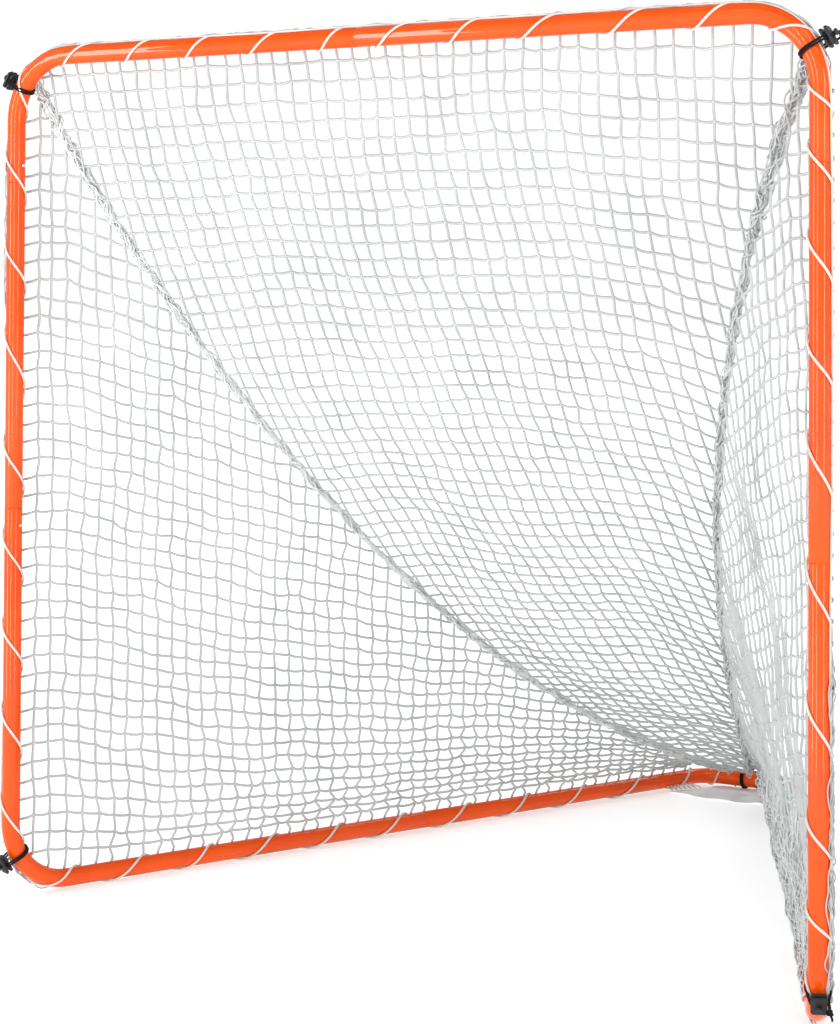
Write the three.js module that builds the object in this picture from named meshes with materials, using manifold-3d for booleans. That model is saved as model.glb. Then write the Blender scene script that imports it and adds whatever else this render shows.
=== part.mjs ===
// A take-apart lacrosse goal: a ring of steel tube in nine snap-together lengths, a laced three-panel net,
// and five cord locks on elastic loops. Millimetres, X along the crossbar, Y from the mouth to the rear, Z up.
import * as THREE from "three";
import { mergeVertices } from "three/addons/utils/BufferGeometryUtils.js";
import Module from "manifold-3d";

const wasm = await Module();
wasm.setup();

// Frame: driving sizes
const openingWidth = 1830; // clear width between the posts
const openingHeight = 1830; // base tube's centre to the crossbar's centre
const frameDepth = 1945; // mouth plane to the centre of the rear tube
const rearWidth = 240; // between the two rear corners, where the tube centres would cross
const tubeRadius = 20;
const tubeWall = 1.2;
const frontBendRadius = 140; // to the tube's centre, at the four front corners
const rearBendRadius = 90;
const tubeSides = 12;
const frontBendSteps = 7;
const rearBendSteps = 5;

// Telescoping joints, each place measured on the tube's centre
const lowSeamRise = 834; // above the base tube
const highSeamDrop = 277; // below the crossbar
const crossbarSeamOffset = 45; // from the middle, towards the left post
const frontSeamReach = 1142; // back from the front corner
const rearSeamReach = 181; // forward from the rear corner
const seamGap = 0.6;
const spigotRadius = 18.1; // the necked end that slides into the next tube
const spigotLength = 80;
const spigotCollar = 19.4; // where the neck grows out of the tube's wall
const spigotSkin = 0.4; // how thin the collar starts
const spigotRoot = 8;
const spigotChamfer = 1.5;

// Snap buttons: a domed stud on a folded leaf spring
const buttonReach = 38; // from the seam
const studRadius = 4;
const studProud = 4; // above the outer tube
const studDome = 1.6;
const studSides = 8;
const studClearance = 0.3;
const footRadius = 5.4;
const footThickness = 1.3;
const footClearance = 0.3; // inside the necked tube
const leafThickness = 0.8;
const leafWidth = 10;
const leafGap = 0.3;
const leafFront = 8; // past the stud
const leafBack = 30; // the fold, behind the stud
const leafFoldRadius = 5;

// Lacing cord, wound round the tubes
const laceRadius = 2.75;
const laceGap = 0.3;
const laceSides = 5;
const laceSteps = 8; // per turn
const postLacePitch = 200;
const crossbarLacePitch = 164;
const baseLacePitch = 190;
const leftPostLaceStart = 51; // degrees of turn before the rear of the tube
const rightPostLaceStart = 0;
const crossbarLaceStart = -90;
const baseLaceStart = 225; // degrees of turn before the underside
const postLaceOddTurnShare = .975; // the part turn between the two snap buttons, past the whole ones
const baseLaceOddTurnShare = .536;
const laceGroundCut = 0.55; // pressed flat where the goal stands on it

// Elastic loops and cord locks
const elasticRadius = 2.25;
const elasticGap = 0.8;
const elasticSides = 5;
const elasticSpacing = 5.4; // between the two strands
const elasticTurnStep = 36; // degrees, one flat of the cord as it goes round the tube
const lockBendAngle = 30; // degrees of the bend, from the post
const lockStandoff = 11.5; // tube to the inner plate
const plateLength = 38;
const plateWidth = 30;
const plateCorner = 6;
const plateThickness = 5;
const plateSegments = 3;
const waistLength = 24;
const waistWidth = 17;
const waistHeight = 5.6;
const notchWidth = 11.4;
const notchDepth = 5.5;
const stemLength = 16.4;
const stemWidth = 6;
const stemClearance = 0.3;
const cordSlotWidth = 11.2;
const plungerTravel = 4;
const stemTie = 2.4; // the bar below the cord slot
const neckRadius = 2.9;
const neckLength = 6.6;
const headRadius = 6.5;
const headThickness = 5;
const roundSides = 12;
const coilWire = 0.45;
const coilRadius = 4.7;
const coilTurns = 2;
const coilSteps = 6;
const coilSides = 4;
const knotSides = 7;
const knotRings = 4;
const knotRadius = 5.2;
const knotLengthShare = 1.5; // of its thickness
const knotOut = 18.4; // beside the lock
const knotRise = 9; // above the outer plate's face

// Net: every fourth line of the real mesh
const meshSize = 40;
const meshLinesPerStrand = 4;
const strandWidth = 4.6;
const strandThickness = 4;
const netStandoff = 30.8; // tube's centre to the net's border
const roofStandoff = 29.5; // the same, behind the crossbar
const ridgeSeamGap = 4.4; // between the borders of two panels, which meet at an angle
const ridgeSteps = 16;
const ridgeStartShare = 0.03; // of the way down the roof, where the ridge leaves the corner
const ridgeSpreadShares = [1.007, -0.558, 0.656]; // of half the post spacing, as the ridge runs back
const rearGatherHalf = 22; // half the roof's width at the rear tube
const roofNearShares = [0.031, 0.676]; // of the depth, past the bar's net line, and of the crossbar's height
const roofFarShares = [0.443, 0.204]; // of the same: where the roof's sag is pulled to
const sideLean = 190; // how much farther forward the side's upright strands meet the ridge, at most
const sideLeanShare = 0.37; // of the base's length, where they lean most
const borderKeepShare = 0.36; // of a gap: no crossing is nearer to a border than this

// Ground skirt: a cloth gusset laced under the rear tube
const skirtFrontHalf = 150;
const skirtRearHalf = 62;
const skirtReach = 170;
const skirtSag = 3;
const skirtThickness = 1.6;
const skirtFolds = 3;
const skirtColumns = 12;
const skirtRows = 3;
const skirtTubeGap = 0.4;
const skirtTuck = 16; // of the rear edge, under the rear tube
const skirtNotchColumns = 1; // each side of the middle, cut back for the elastic loop
const skirtNotchDepth = 25;

// Shared workshop values
const overrun = 2;
const weldTolerance = 1e-4;
const mirrorX = new THREE.Vector3(-1, 1, 1);

// Finishes
const orangePowder = { color: 0xf0500a, roughness: 0.35, metalness: 0.1 };
const brightSteel = { color: 0xb9bcc0, roughness: 0.3, metalness: 0.9 };
const blackPlastic = { color: 0x151716, roughness: 0.45, metalness: 0 };
const blackElastic = { color: 0x1c1a1c, roughness: 0.85, metalness: 0 };
const blackSteel = { color: 0x222222, roughness: 0.4, metalness: 0.8 };
const whiteCord = { color: 0xf2f2ee, roughness: 0.8, metalness: 0 };
const whiteNet = { color: 0xe9ebe8, roughness: 0.85, metalness: 0 };
const whiteCloth = { color: 0xe6e7e4, roughness: 0.9, metalness: 0 };

// Sizes worked out from the ones above
const boreRadius = tubeRadius - tubeWall;
const spigotBore = (spigotRadius - tubeWall) * Math.cos(Math.PI / tubeSides) - footClearance;
const footDepth = Math.sqrt(spigotBore ** 2 - footRadius ** 2); // top of the foot, from the tube's centre
const leafBaseDepth = Math.sqrt(spigotBore ** 2 - (leafWidth / 2) ** 2);
const laceFlat = laceRadius * Math.cos(Math.PI / laceSides);
const laceWindRadius = (tubeRadius + laceGap + laceRadius) / Math.cos(Math.PI / laceSteps);
const baseHeight = laceWindRadius + laceFlat - laceGroundCut;
const crossbarHeight = baseHeight + openingHeight;
const halfSpacing = openingWidth / 2 + tubeRadius;
const strandPitch = meshSize * meshLinesPerStrand;
const up = new THREE.Vector3(0, 0, 1);
const rearward = new THREE.Vector3(0, 1, 0);
const rightward = new THREE.Vector3(1, 0, 0);
const point = (x, y, z) => new THREE.Vector3(x, y, z);
const onLine = (from, direction, distance) => from.clone().addScaledVector(direction, distance);

// A closed mesh as a solid that can be joined and cut.
function toSolid(geometry) {
  const bare = geometry.clone();
  bare.deleteAttribute("normal");
  bare.deleteAttribute("uv");
  const merged = mergeVertices(bare, weldTolerance);
  return new wasm.Manifold(
    new wasm.Mesh({
      numProp: 3,
      vertProperties: merged.attributes.position.array,
      triVerts: new Uint32Array(merged.index.array),
    }),
  );
}

function toGeometry(solid) {
  const mesh = solid.getMesh();
  const geometry = new THREE.BufferGeometry();
  geometry.setAttribute("position", new THREE.BufferAttribute(mesh.vertProperties, 3));
  geometry.setIndex(new THREE.BufferAttribute(mesh.triVerts, 1));
  geometry.computeVertexNormals();
  return geometry;
}

function join(first, ...others) {
  return toGeometry(others.reduce((whole, next) => whole.add(toSolid(next)), toSolid(first)));
}

function cut(first, ...cutters) {
  return toGeometry(cutters.reduce((whole, next) => whole.subtract(toSolid(next)), toSolid(first)));
}

// The matrix of a local frame with Z along its outward axis and X as near as can be to the given one.
function frameAt(origin, outward, along) {
  const z = outward.clone().normalize();
  const y = z.clone().cross(along).normalize();
  const x = y.clone().cross(z);
  return new THREE.Matrix4().makeBasis(x, y, z).setPosition(origin);
}

function mirrored(geometry) {
  const copy = geometry.clone().scale(...mirrorX);
  const order = copy.index.array;
  for (let i = 0; i < order.length; i += 3) {
    [order[i + 1], order[i + 2]] = [order[i + 2], order[i + 1]];
  }
  return copy;
}

// The centre line of the frame: one closed ring of straights and round bends.
class TubeRing {
  constructor(start, corners) {
    this.pieces = [];
    this.bends = {};
    this.length = 0;
    let from = start;
    const names = Object.keys(corners);
    names.forEach((name, i) => {
      const { at, radius, steps } = corners[name];
      const next = i + 1 < names.length ? corners[names[i + 1]].at : start;
      const coming = at.clone().sub(from).normalize();
      const going = next.clone().sub(at).normalize();
      const turn = coming.angleTo(going);
      const trim = radius * Math.tan(turn / 2);
      const inward = going.clone().addScaledVector(coming, -Math.cos(turn)).divideScalar(Math.sin(turn));
      const entry = onLine(at, coming, -trim);
      this.addStraight(from, coming, entry.distanceTo(from));
      this.bends[name] = { start: this.length, end: this.length + radius * turn, trim, inward, coming, going };
      this.addBend(onLine(entry, inward, radius), inward, coming, radius, turn, steps);
      from = onLine(at, going, trim);
    });
    this.addStraight(from, start.clone().sub(from).normalize(), start.distanceTo(from));
  }

  addStraight(from, direction, length) {
    const at = (d) => ({ point: onLine(from, direction, d), tangent: direction.clone() });
    this.pieces.push({ start: this.length, length, steps: 1, at });
    this.length += length;
  }

  addBend(centre, inward, coming, radius, turn, steps) {
    const at = (d) => {
      const [c, s] = [Math.cos(d / radius), Math.sin(d / radius)];
      const spot = onLine(onLine(centre, inward, -radius * c), coming, radius * s);
      const tangent = coming.clone().multiplyScalar(c).addScaledVector(inward, s);
      return { point: spot, tangent };
    };
    this.pieces.push({ start: this.length, length: radius * turn, steps, at });
    this.length += radius * turn;
  }

  at(station) {
    const s = ((station % this.length) + this.length) % this.length;
    const piece = this.pieces.find((p) => s <= p.start + p.length) ?? this.pieces.at(-1);
    return piece.at(s - piece.start);
  }

  // The station that lies the given distance past a corner, or before it where the distance is negative,
  // measured from where the centre lines cross.
  past(corner, distance) {
    const { start, end, trim } = this.bends[corner];
    return distance < 0 ? start + distance + trim : end + distance - trim;
  }

  // Every station that a tube between two stations needs for its bends.
  stationsBetween(from, to) {
    const inner = [];
    for (const lap of [0, this.length]) {
      for (const piece of this.pieces.filter((p) => p.steps > 1)) {
        for (let k = 0; k <= piece.steps; k++) inner.push(lap + piece.start + (piece.length * k) / piece.steps);
      }
    }
    return [from, ...inner.filter((s) => s > from + overrun && s < to - overrun), to];
  }
}

// A stretch of the ring as a curve, whose even steps fall on the given stations.
class RingStretch extends THREE.Curve {
  constructor(ring, stations) {
    super();
    this.ring = ring;
    this.stations = stations;
  }

  stationAt(share) {
    const place = share * (this.stations.length - 1);
    const i = Math.min(Math.floor(place + weldTolerance), this.stations.length - 2);
    return this.stations[i] + (this.stations[i + 1] - this.stations[i]) * (place - i);
  }

  getPoint(share, target = new THREE.Vector3()) {
    return target.copy(this.ring.at(this.stationAt(share)).point);
  }

  getPointAt(share, target) {
    return this.getPoint(share, target);
  }

  getTangentAt(share, target = new THREE.Vector3()) {
    return target.copy(this.ring.at(this.stationAt(share)).tangent);
  }
}

const rearMiddle = point(0, frameDepth, baseHeight);
const frontCorner = (x, z) => ({
  at: point(x, 0, z),
  radius: frontBendRadius,
  steps: frontBendSteps,
});
const rearCorner = (x) => ({
  at: point(x, frameDepth, baseHeight),
  radius: rearBendRadius,
  steps: rearBendSteps,
});
const corners = {
  rearLeft: rearCorner(-rearWidth / 2),
  bottomLeft: frontCorner(-halfSpacing, baseHeight),
  topLeft: frontCorner(-halfSpacing, crossbarHeight),
  topRight: frontCorner(halfSpacing, crossbarHeight),
  bottomRight: frontCorner(halfSpacing, baseHeight),
  rearRight: rearCorner(rearWidth / 2),
};
const ring = new TubeRing(rearMiddle, corners);
const baseLength = corners.rearLeft.at.distanceTo(corners.bottomLeft.at);
const baseDirection = corners.rearLeft.at.clone().sub(corners.bottomLeft.at).normalize();
const leftOutward = up.clone().cross(baseDirection).normalize();
const rightOutward = leftOutward.clone().multiply(mirrorX);

const leftward = rightward.clone().negate();
const downward = up.clone().negate();

// A snap joint's place. Towards is the way along the ring to the outer tube, which carries the stud's hole.
function snapJoint(name, corner, distance, towards, facing) {
  return { name, station: ring.past(corner, distance), towards, facing };
}
const joints = [
  snapJoint("rear_left", "rearLeft", rearSeamReach, -1, leftOutward),
  snapJoint("front_left", "rearLeft", baseLength - frontSeamReach, 1, leftOutward),
  snapJoint("low_left", "bottomLeft", lowSeamRise, -1, rightward),
  snapJoint("high_left", "topLeft", -highSeamDrop, 1, rightward),
  snapJoint("crossbar", "topLeft", halfSpacing - crossbarSeamOffset, 1, downward),
  snapJoint("high_right", "topRight", highSeamDrop, -1, leftward),
  snapJoint("low_right", "bottomRight", -lowSeamRise, 1, leftward),
  snapJoint("front_right", "bottomRight", frontSeamReach, -1, rightOutward),
  snapJoint("rear_right", "bottomRight", baseLength - rearSeamReach, 1, rightOutward),
];

const polygon = (radius, sides) =>
  Array.from({ length: sides }, (_, i) => {
    const angle = (2 * Math.PI * (i + 0.5)) / sides;
    return new THREE.Vector2(radius * Math.cos(angle), radius * Math.sin(angle));
  });

// A revolved piece whose axis is Z: the profile lists radius and height. Its flats line up with a polygon's.
function turned(profile, sides) {
  const points = profile.map(([r, h]) => new THREE.Vector2(r, h));
  return new THREE.LatheGeometry(points, sides, Math.PI / sides).rotateX(Math.PI / 2);
}

// Where a joint's stud stands: its origin is on the tube's centre, its Z leaves through the holes.
function studFrame(joint) {
  const spot = ring.at(joint.station + joint.towards * buttonReach);
  return frameAt(spot.point, joint.facing, spot.tangent.multiplyScalar(joint.towards));
}

function studHole(joint) {
  const radius = studRadius + studClearance;
  const depth = tubeRadius - footDepth + 2 * overrun;
  const foot = footDepth - overrun;
  const drill = turned([[0, foot], [radius, foot], [radius, foot + depth], [0, foot + depth]], studSides);
  return drill.applyMatrix4(studFrame(joint));
}

// The necked end of a tube, growing out of its wall at the seam and reaching into the next tube.
function spigot(joint, side) {
  const inner = spigotRadius - tubeWall;
  const neck = turned(
    [
      [spigotCollar - spigotSkin, -spigotRoot],
      [spigotCollar, -spigotRoot],
      [spigotCollar, -seamGap],
      [spigotRadius, seamGap],
      [spigotRadius, spigotLength - spigotChamfer],
      [inner, spigotLength],
      [inner, -seamGap],
      [spigotCollar - spigotSkin, -spigotRoot],
    ],
    tubeSides,
  );
  const seam = ring.at(joint.station);
  return neck.applyMatrix4(frameAt(seam.point, seam.tangent.multiplyScalar(joint.towards), side));
}

// One length of tube between two joints, with its necked ends and its stud holes.
function tubeBetween(first, last) {
  const laps = last.station < first.station ? ring.length : 0;
  const start = first.station + (first.towards > 0 ? seamGap : 0);
  const end = last.station + laps - (last.towards < 0 ? seamGap : 0);
  const stations = ring.stationsBetween(start, end);
  const wall = new THREE.Shape(polygon(tubeRadius, tubeSides));
  wall.holes.push(new THREE.Path(polygon(boreRadius, tubeSides).reverse()));
  const extrudePath = new RingStretch(ring, stations);
  const body = new THREE.ExtrudeGeometry(wall, { steps: stations.length - 1, extrudePath });
  const sides = extrudePath.computeFrenetFrames(stations.length - 1, false).normals;
  const necks = [];
  if (first.towards < 0) necks.push(spigot(first, sides[0]));
  if (last.towards > 0) necks.push(spigot(last, sides.at(-1)));
  return cut(join(body, ...necks), studHole(first), studHole(last));
}

// A domed stud with the foot that keeps it from leaving the tube, Z out of the tube.
function studGeometry() {
  const top = tubeRadius + studProud;
  const foot = footDepth - footThickness;
  return turned(
    [
      [0, foot],
      [footRadius, foot],
      [footRadius, footDepth],
      [studRadius, footDepth],
      [studRadius, top - studDome],
      [studRadius / 2, top - studDome / 4],
      [0, top],
    ],
    studSides,
  );
}

// The leaf spring under a stud: a strip folded in a V, one leg on the tube's wall and one under the foot.
function leafGeometry() {
  const top = footDepth - footThickness - leafGap;
  const bottom = -leafBaseDepth;
  const strip = new THREE.Shape();
  const fold = [-leafBack, (top + bottom) / 2];
  const outer = leafFoldRadius;
  const inner = leafFoldRadius - leafThickness;
  strip.moveTo(leafFront, top);
  strip.lineTo(-leafFront, top);
  strip.lineTo(fold[0], fold[1] + outer);
  strip.absarc(fold[0], fold[1], outer, Math.PI / 2, (3 * Math.PI) / 2);
  strip.lineTo(-leafFront, bottom);
  strip.lineTo(leafFront, bottom);
  strip.lineTo(leafFront, bottom + leafThickness);
  strip.lineTo(-leafFront, bottom + leafThickness);
  strip.lineTo(fold[0], fold[1] - inner);
  strip.absarc(fold[0], fold[1], inner, (3 * Math.PI) / 2, Math.PI / 2, true);
  strip.lineTo(-leafFront, top - leafThickness);
  strip.lineTo(leafFront, top - leafThickness);
  const settings = { depth: leafWidth, bevelEnabled: false, curveSegments: 2 };
  const flat = new THREE.ExtrudeGeometry(strip, settings).translate(0, 0, -leafWidth / 2);
  return flat.rotateX(Math.PI / 2);
}

// A cord with a flat-sided section through the given stations. Outward turns one flat away from what it lies on.
function cordGeometry(route, outward, radius, sides) {
  const last = route.length - 1;
  const places = [];
  for (let i = 0; i <= last; i++) {
    const before = route[Math.max(i - 1, 0)];
    const after = route[Math.min(i + 1, last)];
    const tangent = after.clone().sub(before).normalize();
    const rise = outward[i].clone().addScaledVector(tangent, -outward[i].dot(tangent)).normalize();
    const across = tangent.clone().cross(rise);
    for (let k = 0; k < sides; k++) {
      const angle = (2 * Math.PI * (k + 0.5)) / sides;
      const side = rise.clone().multiplyScalar(Math.cos(angle)).addScaledVector(across, Math.sin(angle));
      places.push(onLine(route[i], side, radius));
    }
  }
  const faces = [];
  for (let i = 0; i < last; i++) {
    for (let k = 0; k < sides; k++) {
      const [a, b] = [i * sides + k, i * sides + ((k + 1) % sides)];
      faces.push(a, b, b + sides, a, b + sides, a + sides);
    }
  }
  for (let k = 1; k + 1 < sides; k++) {
    faces.push(0, k + 1, k);
    faces.push(last * sides, last * sides + k, last * sides + k + 1);
  }
  return meshOf(places, faces);
}

function meshOf(places, faces) {
  const geometry = new THREE.BufferGeometry().setFromPoints(places);
  geometry.setIndex(faces);
  geometry.computeVertexNormals();
  return geometry;
}

// The least gap between two turns of one cord, measured on points along it.
function leastGap(name, route, radius) {
  const pointsPerStep = 6;
  const spots = [];
  for (let i = 0; i + 1 < route.length; i++) {
    for (let k = 0; k < pointsPerStep; k++) spots.push(route[i].clone().lerp(route[i + 1], k / pointsPerStep));
  }
  const along = [0];
  for (let i = 1; i < spots.length; i++) along.push(along[i - 1] + spots[i].distanceTo(spots[i - 1]));
  const turnShare = 12; // in cord radii: nearer than this along the cord is the same turn
  let least = Infinity;
  for (let i = 0; i < spots.length; i++) {
    for (let j = i + 1; j < spots.length; j++) {
      if (along[j] - along[i] > turnShare * radius) least = Math.min(least, spots[i].distanceTo(spots[j]));
    }
  }
  console.log(`${name}: least gap to itself ${(least - 2 * radius).toFixed(2)} mm`);
}

// How far along its tube the lacing has come at each step. Between the tube's two snap buttons the turns are
// spaced so that the cord passes both of them as it does on the real goal.
function laceDistances(length, pitch, buttons) {
  const before = buttons.first / pitch;
  const span = buttons.second - buttons.first;
  const between = span ? Math.round(span / pitch - buttons.oddTurnShare) + buttons.oddTurnShare : 0;
  const turns = before + between + (length - buttons.second) / pitch;
  return Array.from({ length: Math.floor(turns * laceSteps) + 1 }, (_, i) => {
    const fitted = THREE.MathUtils.clamp(i / laceSteps - before, 0, between);
    const plain = (i / laceSteps - fitted) * pitch;
    return fitted ? plain + (fitted * span) / between : plain;
  });
}

const noButtons = { first: 0, second: 0, oddTurnShare: 0 };

// Lacing wound round a straight tube, from one end to the other. It turns towards the zero direction from
// the start, given in degrees.
function laceRoute(from, to, zero, pitch, start, buttons) {
  const direction = to.clone().sub(from).normalize();
  const side = direction.clone().cross(zero);
  const route = [];
  const outward = [];
  laceDistances(from.distanceTo(to), pitch, buttons).forEach((distance, i) => {
    const angle = THREE.MathUtils.degToRad(start) - (2 * Math.PI * i) / laceSteps;
    const radial = zero.clone().multiplyScalar(Math.cos(angle)).addScaledVector(side, Math.sin(angle));
    outward.push(radial);
    route.push(onLine(onLine(from, direction, distance), radial, laceWindRadius));
  });
  return { route, outward };
}

function lacing(name, from, to, zero, pitch, start, buttons = noButtons) {
  const { route, outward } = laceRoute(from, to, zero, pitch, start, buttons);
  leastGap(name, route, laceRadius);
  return cordGeometry(route, outward, laceRadius, laceSides);
}

// Lacing under a base tube is pressed flat where it meets the ground.
function pressedFlat(geometry) {
  const reach = openingWidth + frameDepth;
  const ground = new THREE.BoxGeometry(2 * reach, 2 * reach, tubeRadius).translate(0, 0, -tubeRadius / 2);
  return cut(geometry, ground);
}

// Heights of the cord lock's parts above the tube's centre, its Z pointing away from the bend.
const innerPlateFoot = tubeRadius + lockStandoff;
const waistFoot = innerPlateFoot + plateThickness;
const outerPlateFoot = waistFoot + waistHeight;
const lockTop = outerPlateFoot + plateThickness;
const slotMiddle = waistFoot + waistHeight / 2;
const cordSlotHeight = waistHeight - 2 * stemClearance;
const headFoot = lockTop + neckLength;

function roundedPlate(length, width, corner, foot, thickness, notches) {
  const [x, y, r] = [length / 2, width / 2, corner];
  const outline = new THREE.Shape();
  outline.absarc(x - r, y - r, r, 0, Math.PI / 2);
  if (notches) addNotch(outline, 1, y);
  outline.absarc(-x + r, y - r, r, Math.PI / 2, Math.PI);
  outline.absarc(-x + r, -y + r, r, Math.PI, (3 * Math.PI) / 2);
  if (notches) addNotch(outline, -1, y);
  outline.absarc(x - r, -y + r, r, (3 * Math.PI) / 2, 2 * Math.PI);
  const settings = { depth: thickness, bevelEnabled: false, curveSegments: plateSegments };
  return new THREE.ExtrudeGeometry(outline, settings).translate(0, 0, foot);
}

function addNotch(outline, way, edge) {
  const half = (way * notchWidth) / 2;
  outline.lineTo(half, way * edge);
  outline.lineTo(half, way * (edge - notchDepth));
  outline.lineTo(-half, way * (edge - notchDepth));
  outline.lineTo(-half, way * edge);
}

const block = (length, width, foot, height) =>
  new THREE.BoxGeometry(length, width, height).translate(0, 0, foot + height / 2);

// The spool-shaped body: two plates on a waist, a slot for the elastic and a bore for the plunger.
function lockBodyGeometry() {
  const inner = roundedPlate(plateLength, plateWidth, plateCorner, innerPlateFoot, plateThickness, true);
  const outer = roundedPlate(plateLength, plateWidth, plateCorner, outerPlateFoot, plateThickness, false);
  const waist = block(waistLength, waistWidth, waistFoot - plateThickness / 2, waistHeight + plateThickness);
  const bore = block(
    stemLength + 2 * stemClearance,
    stemWidth + 2 * stemClearance,
    innerPlateFoot - overrun,
    lockTop - innerPlateFoot + 2 * overrun,
  );
  const slot = block(cordSlotWidth, waistWidth + overrun, waistFoot + stemClearance, cordSlotHeight);
  return cut(join(inner, outer, waist), bore, slot);
}

// The plunger: a flat stem with its own cord slot, a round neck and the head that the thumb presses.
function plungerGeometry() {
  const slotFoot = waistFoot + stemClearance;
  const stem = block(stemLength, stemWidth, slotFoot - stemTie, lockTop - slotFoot + stemTie - stemClearance);
  const neck = turned(
    [
      [0, lockTop - overrun],
      [neckRadius, lockTop - overrun],
      [neckRadius, headFoot],
      [headRadius, headFoot],
      [headRadius, headFoot + headThickness - stemClearance],
      [headRadius - overrun, headFoot + headThickness],
      [0, headFoot + headThickness],
    ],
    roundSides,
  );
  const slot = block(cordSlotWidth, stemWidth + overrun, slotFoot, cordSlotHeight + plungerTravel);
  return cut(join(stem, neck), slot);
}

// The coil spring between the lock's outer plate and the plunger's head.
function coilGeometry() {
  const foot = lockTop + elasticGap + coilWire;
  const rise = neckLength - 2 * (elasticGap + coilWire);
  const count = coilTurns * coilSteps;
  const route = [];
  const outward = [];
  for (let i = 0; i <= count; i++) {
    const angle = (2 * Math.PI * i) / coilSteps;
    const radial = point(Math.cos(angle), Math.sin(angle), 0);
    outward.push(radial);
    route.push(onLine(point(0, 0, foot + (rise * i) / count), radial, coilRadius));
  }
  leastGap("lock spring", route, coilWire);
  return cordGeometry(route, outward, coilWire, coilSides);
}

// The elastic: out of the knot, twice through the lock and round the tube, and back to the knot.
function elasticGeometry() {
  const wind = (tubeRadius + elasticGap + elasticRadius) / Math.cos(THREE.MathUtils.degToRad(elasticTurnStep / 2));
  const lane = elasticSpacing;
  const notchEdge = plateWidth / 2;
  const underNotch = innerPlateFoot + plateThickness / 2;
  const slotExit = waistWidth / 2 + elasticRadius;
  const aside = slotExit + elasticRadius;
  const knotTop = lockTop + knotRise;
  const route = [];
  const outward = [];
  const add = (t, b, n, lift) => {
    route.push(point(t, b, n));
    outward.push(lift ?? point(0, b, n - slotMiddle / 2));
  };
  // Half a turn measured from the rear of the tube: the cord leaves it on a tangent to the notch.
  const leave = Math.atan2(underNotch, notchEdge) - Math.acos(wind / Math.hypot(notchEdge, underNotch));
  const turn = (from, to) => {
    const sweep = Math.PI + 2 * leave;
    const parts = Math.round(THREE.MathUtils.radToDeg(sweep) / elasticTurnStep);
    add(from, -notchEdge, underNotch);
    for (let i = 0; i <= parts; i++) {
      const angle = Math.PI - leave + (sweep * i) / parts;
      add(from + ((to - from) * i) / parts, wind * Math.cos(angle), wind * Math.sin(angle));
    }
  };
  add(-lane / 2, knotOut, knotTop, rearward);
  add(-lane / 2, knotOut, slotMiddle + elasticRadius, rearward);
  for (const from of [-lane / 2, lane / 2]) {
    add(from, aside, slotMiddle, up);
    add(from, -slotExit, slotMiddle, up);
    turn(from, from + lane);
    if (from < 0) add(from + lane, notchEdge, underNotch);
  }
  add((3 * lane) / 2, knotOut, innerPlateFoot - elasticRadius, rearward);
  add((3 * lane) / 2, knotOut, knotTop - elasticRadius, rearward);
  leastGap("elastic loop", route.slice(1, -1), elasticRadius);
  const cord = cordGeometry(route, outward, elasticRadius, elasticSides);
  const ball = new THREE.SphereGeometry(knotRadius, knotSides, knotRings);
  return join(cord, ball.scale(knotLengthShare, 1, 1).translate(lane / 2, knotOut, knotTop));
}

// The roof of the net hangs in one curve, and its lines across stay level.
const roofLine = new THREE.CubicBezierCurve3(
  point(0, roofStandoff, crossbarHeight),
  point(0, roofStandoff + roofNearShares[0] * frameDepth, roofNearShares[1] * crossbarHeight),
  point(0, roofFarShares[0] * frameDepth, roofFarShares[1] * crossbarHeight),
  point(0, frameDepth - netStandoff * Math.SQRT1_2, baseHeight + netStandoff * Math.SQRT1_2),
);
const roofLength = roofLine.getLength();

function ridgeSpread(share) {
  const [near, middle, far] = ridgeSpreadShares;
  const spread = (1 - share) * (near + middle * share + far * share * share);
  return halfSpacing * spread + rearGatherHalf * share;
}

const roofPoint = (x, distance) => {
  const share = THREE.MathUtils.clamp(distance / roofLength, 0, 1);
  const spot = roofLine.getPointAt(share);
  const tangent = roofLine.getTangentAt(share);
  return { spot: point(x, spot.y, spot.z), normal: rightward.clone().cross(tangent) };
};

const ridgeShares = Array.from(
  { length: ridgeSteps + 1 },
  (_, i) => ridgeStartShare + ((1 - ridgeStartShare) * i) / ridgeSteps,
);
const borderHalf = (strandWidth + ridgeSeamGap) / 2;

// The left side hangs between a line over the base tube and the ridge.
const sideStart = netStandoff;
const sideFoot = (back) => onLine(point(-halfSpacing, 0, baseHeight + netStandoff), baseDirection, back);
const leanPower = Math.log(0.5) / Math.log(sideLeanShare);
const leanAt = (back) => {
  const share = THREE.MathUtils.clamp(back / baseLength, 0, 1);
  return sideLean * Math.sin(Math.PI * share ** leanPower);
};
const depthAtRidge = (back) => sideFoot(back).y - leanAt(back);

// Where a rising function of one value reaches a target, by halving.
function solve(low, high, rising, target) {
  const halvings = 40;
  for (let i = 0; i < halvings; i++) {
    const middle = (low + high) / 2;
    if (rising(middle) < target) low = middle;
    else high = middle;
  }
  return (low + high) / 2;
}

function sideRidge(back) {
  const share = solve(ridgeStartShare, 1, (at) => roofLine.getPointAt(at).y, depthAtRidge(back));
  const spot = roofLine.getPointAt(share);
  return point(-ridgeSpread(share) - borderHalf, spot.y, spot.z);
}

const sidePoint = (back, rise) => {
  const foot = sideFoot(back);
  const ruling = sideRidge(back).sub(foot);
  const spot = onLine(foot, ruling.clone().normalize(), rise);
  return { spot, normal: baseDirection.clone().cross(ruling).normalize() };
};

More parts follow.
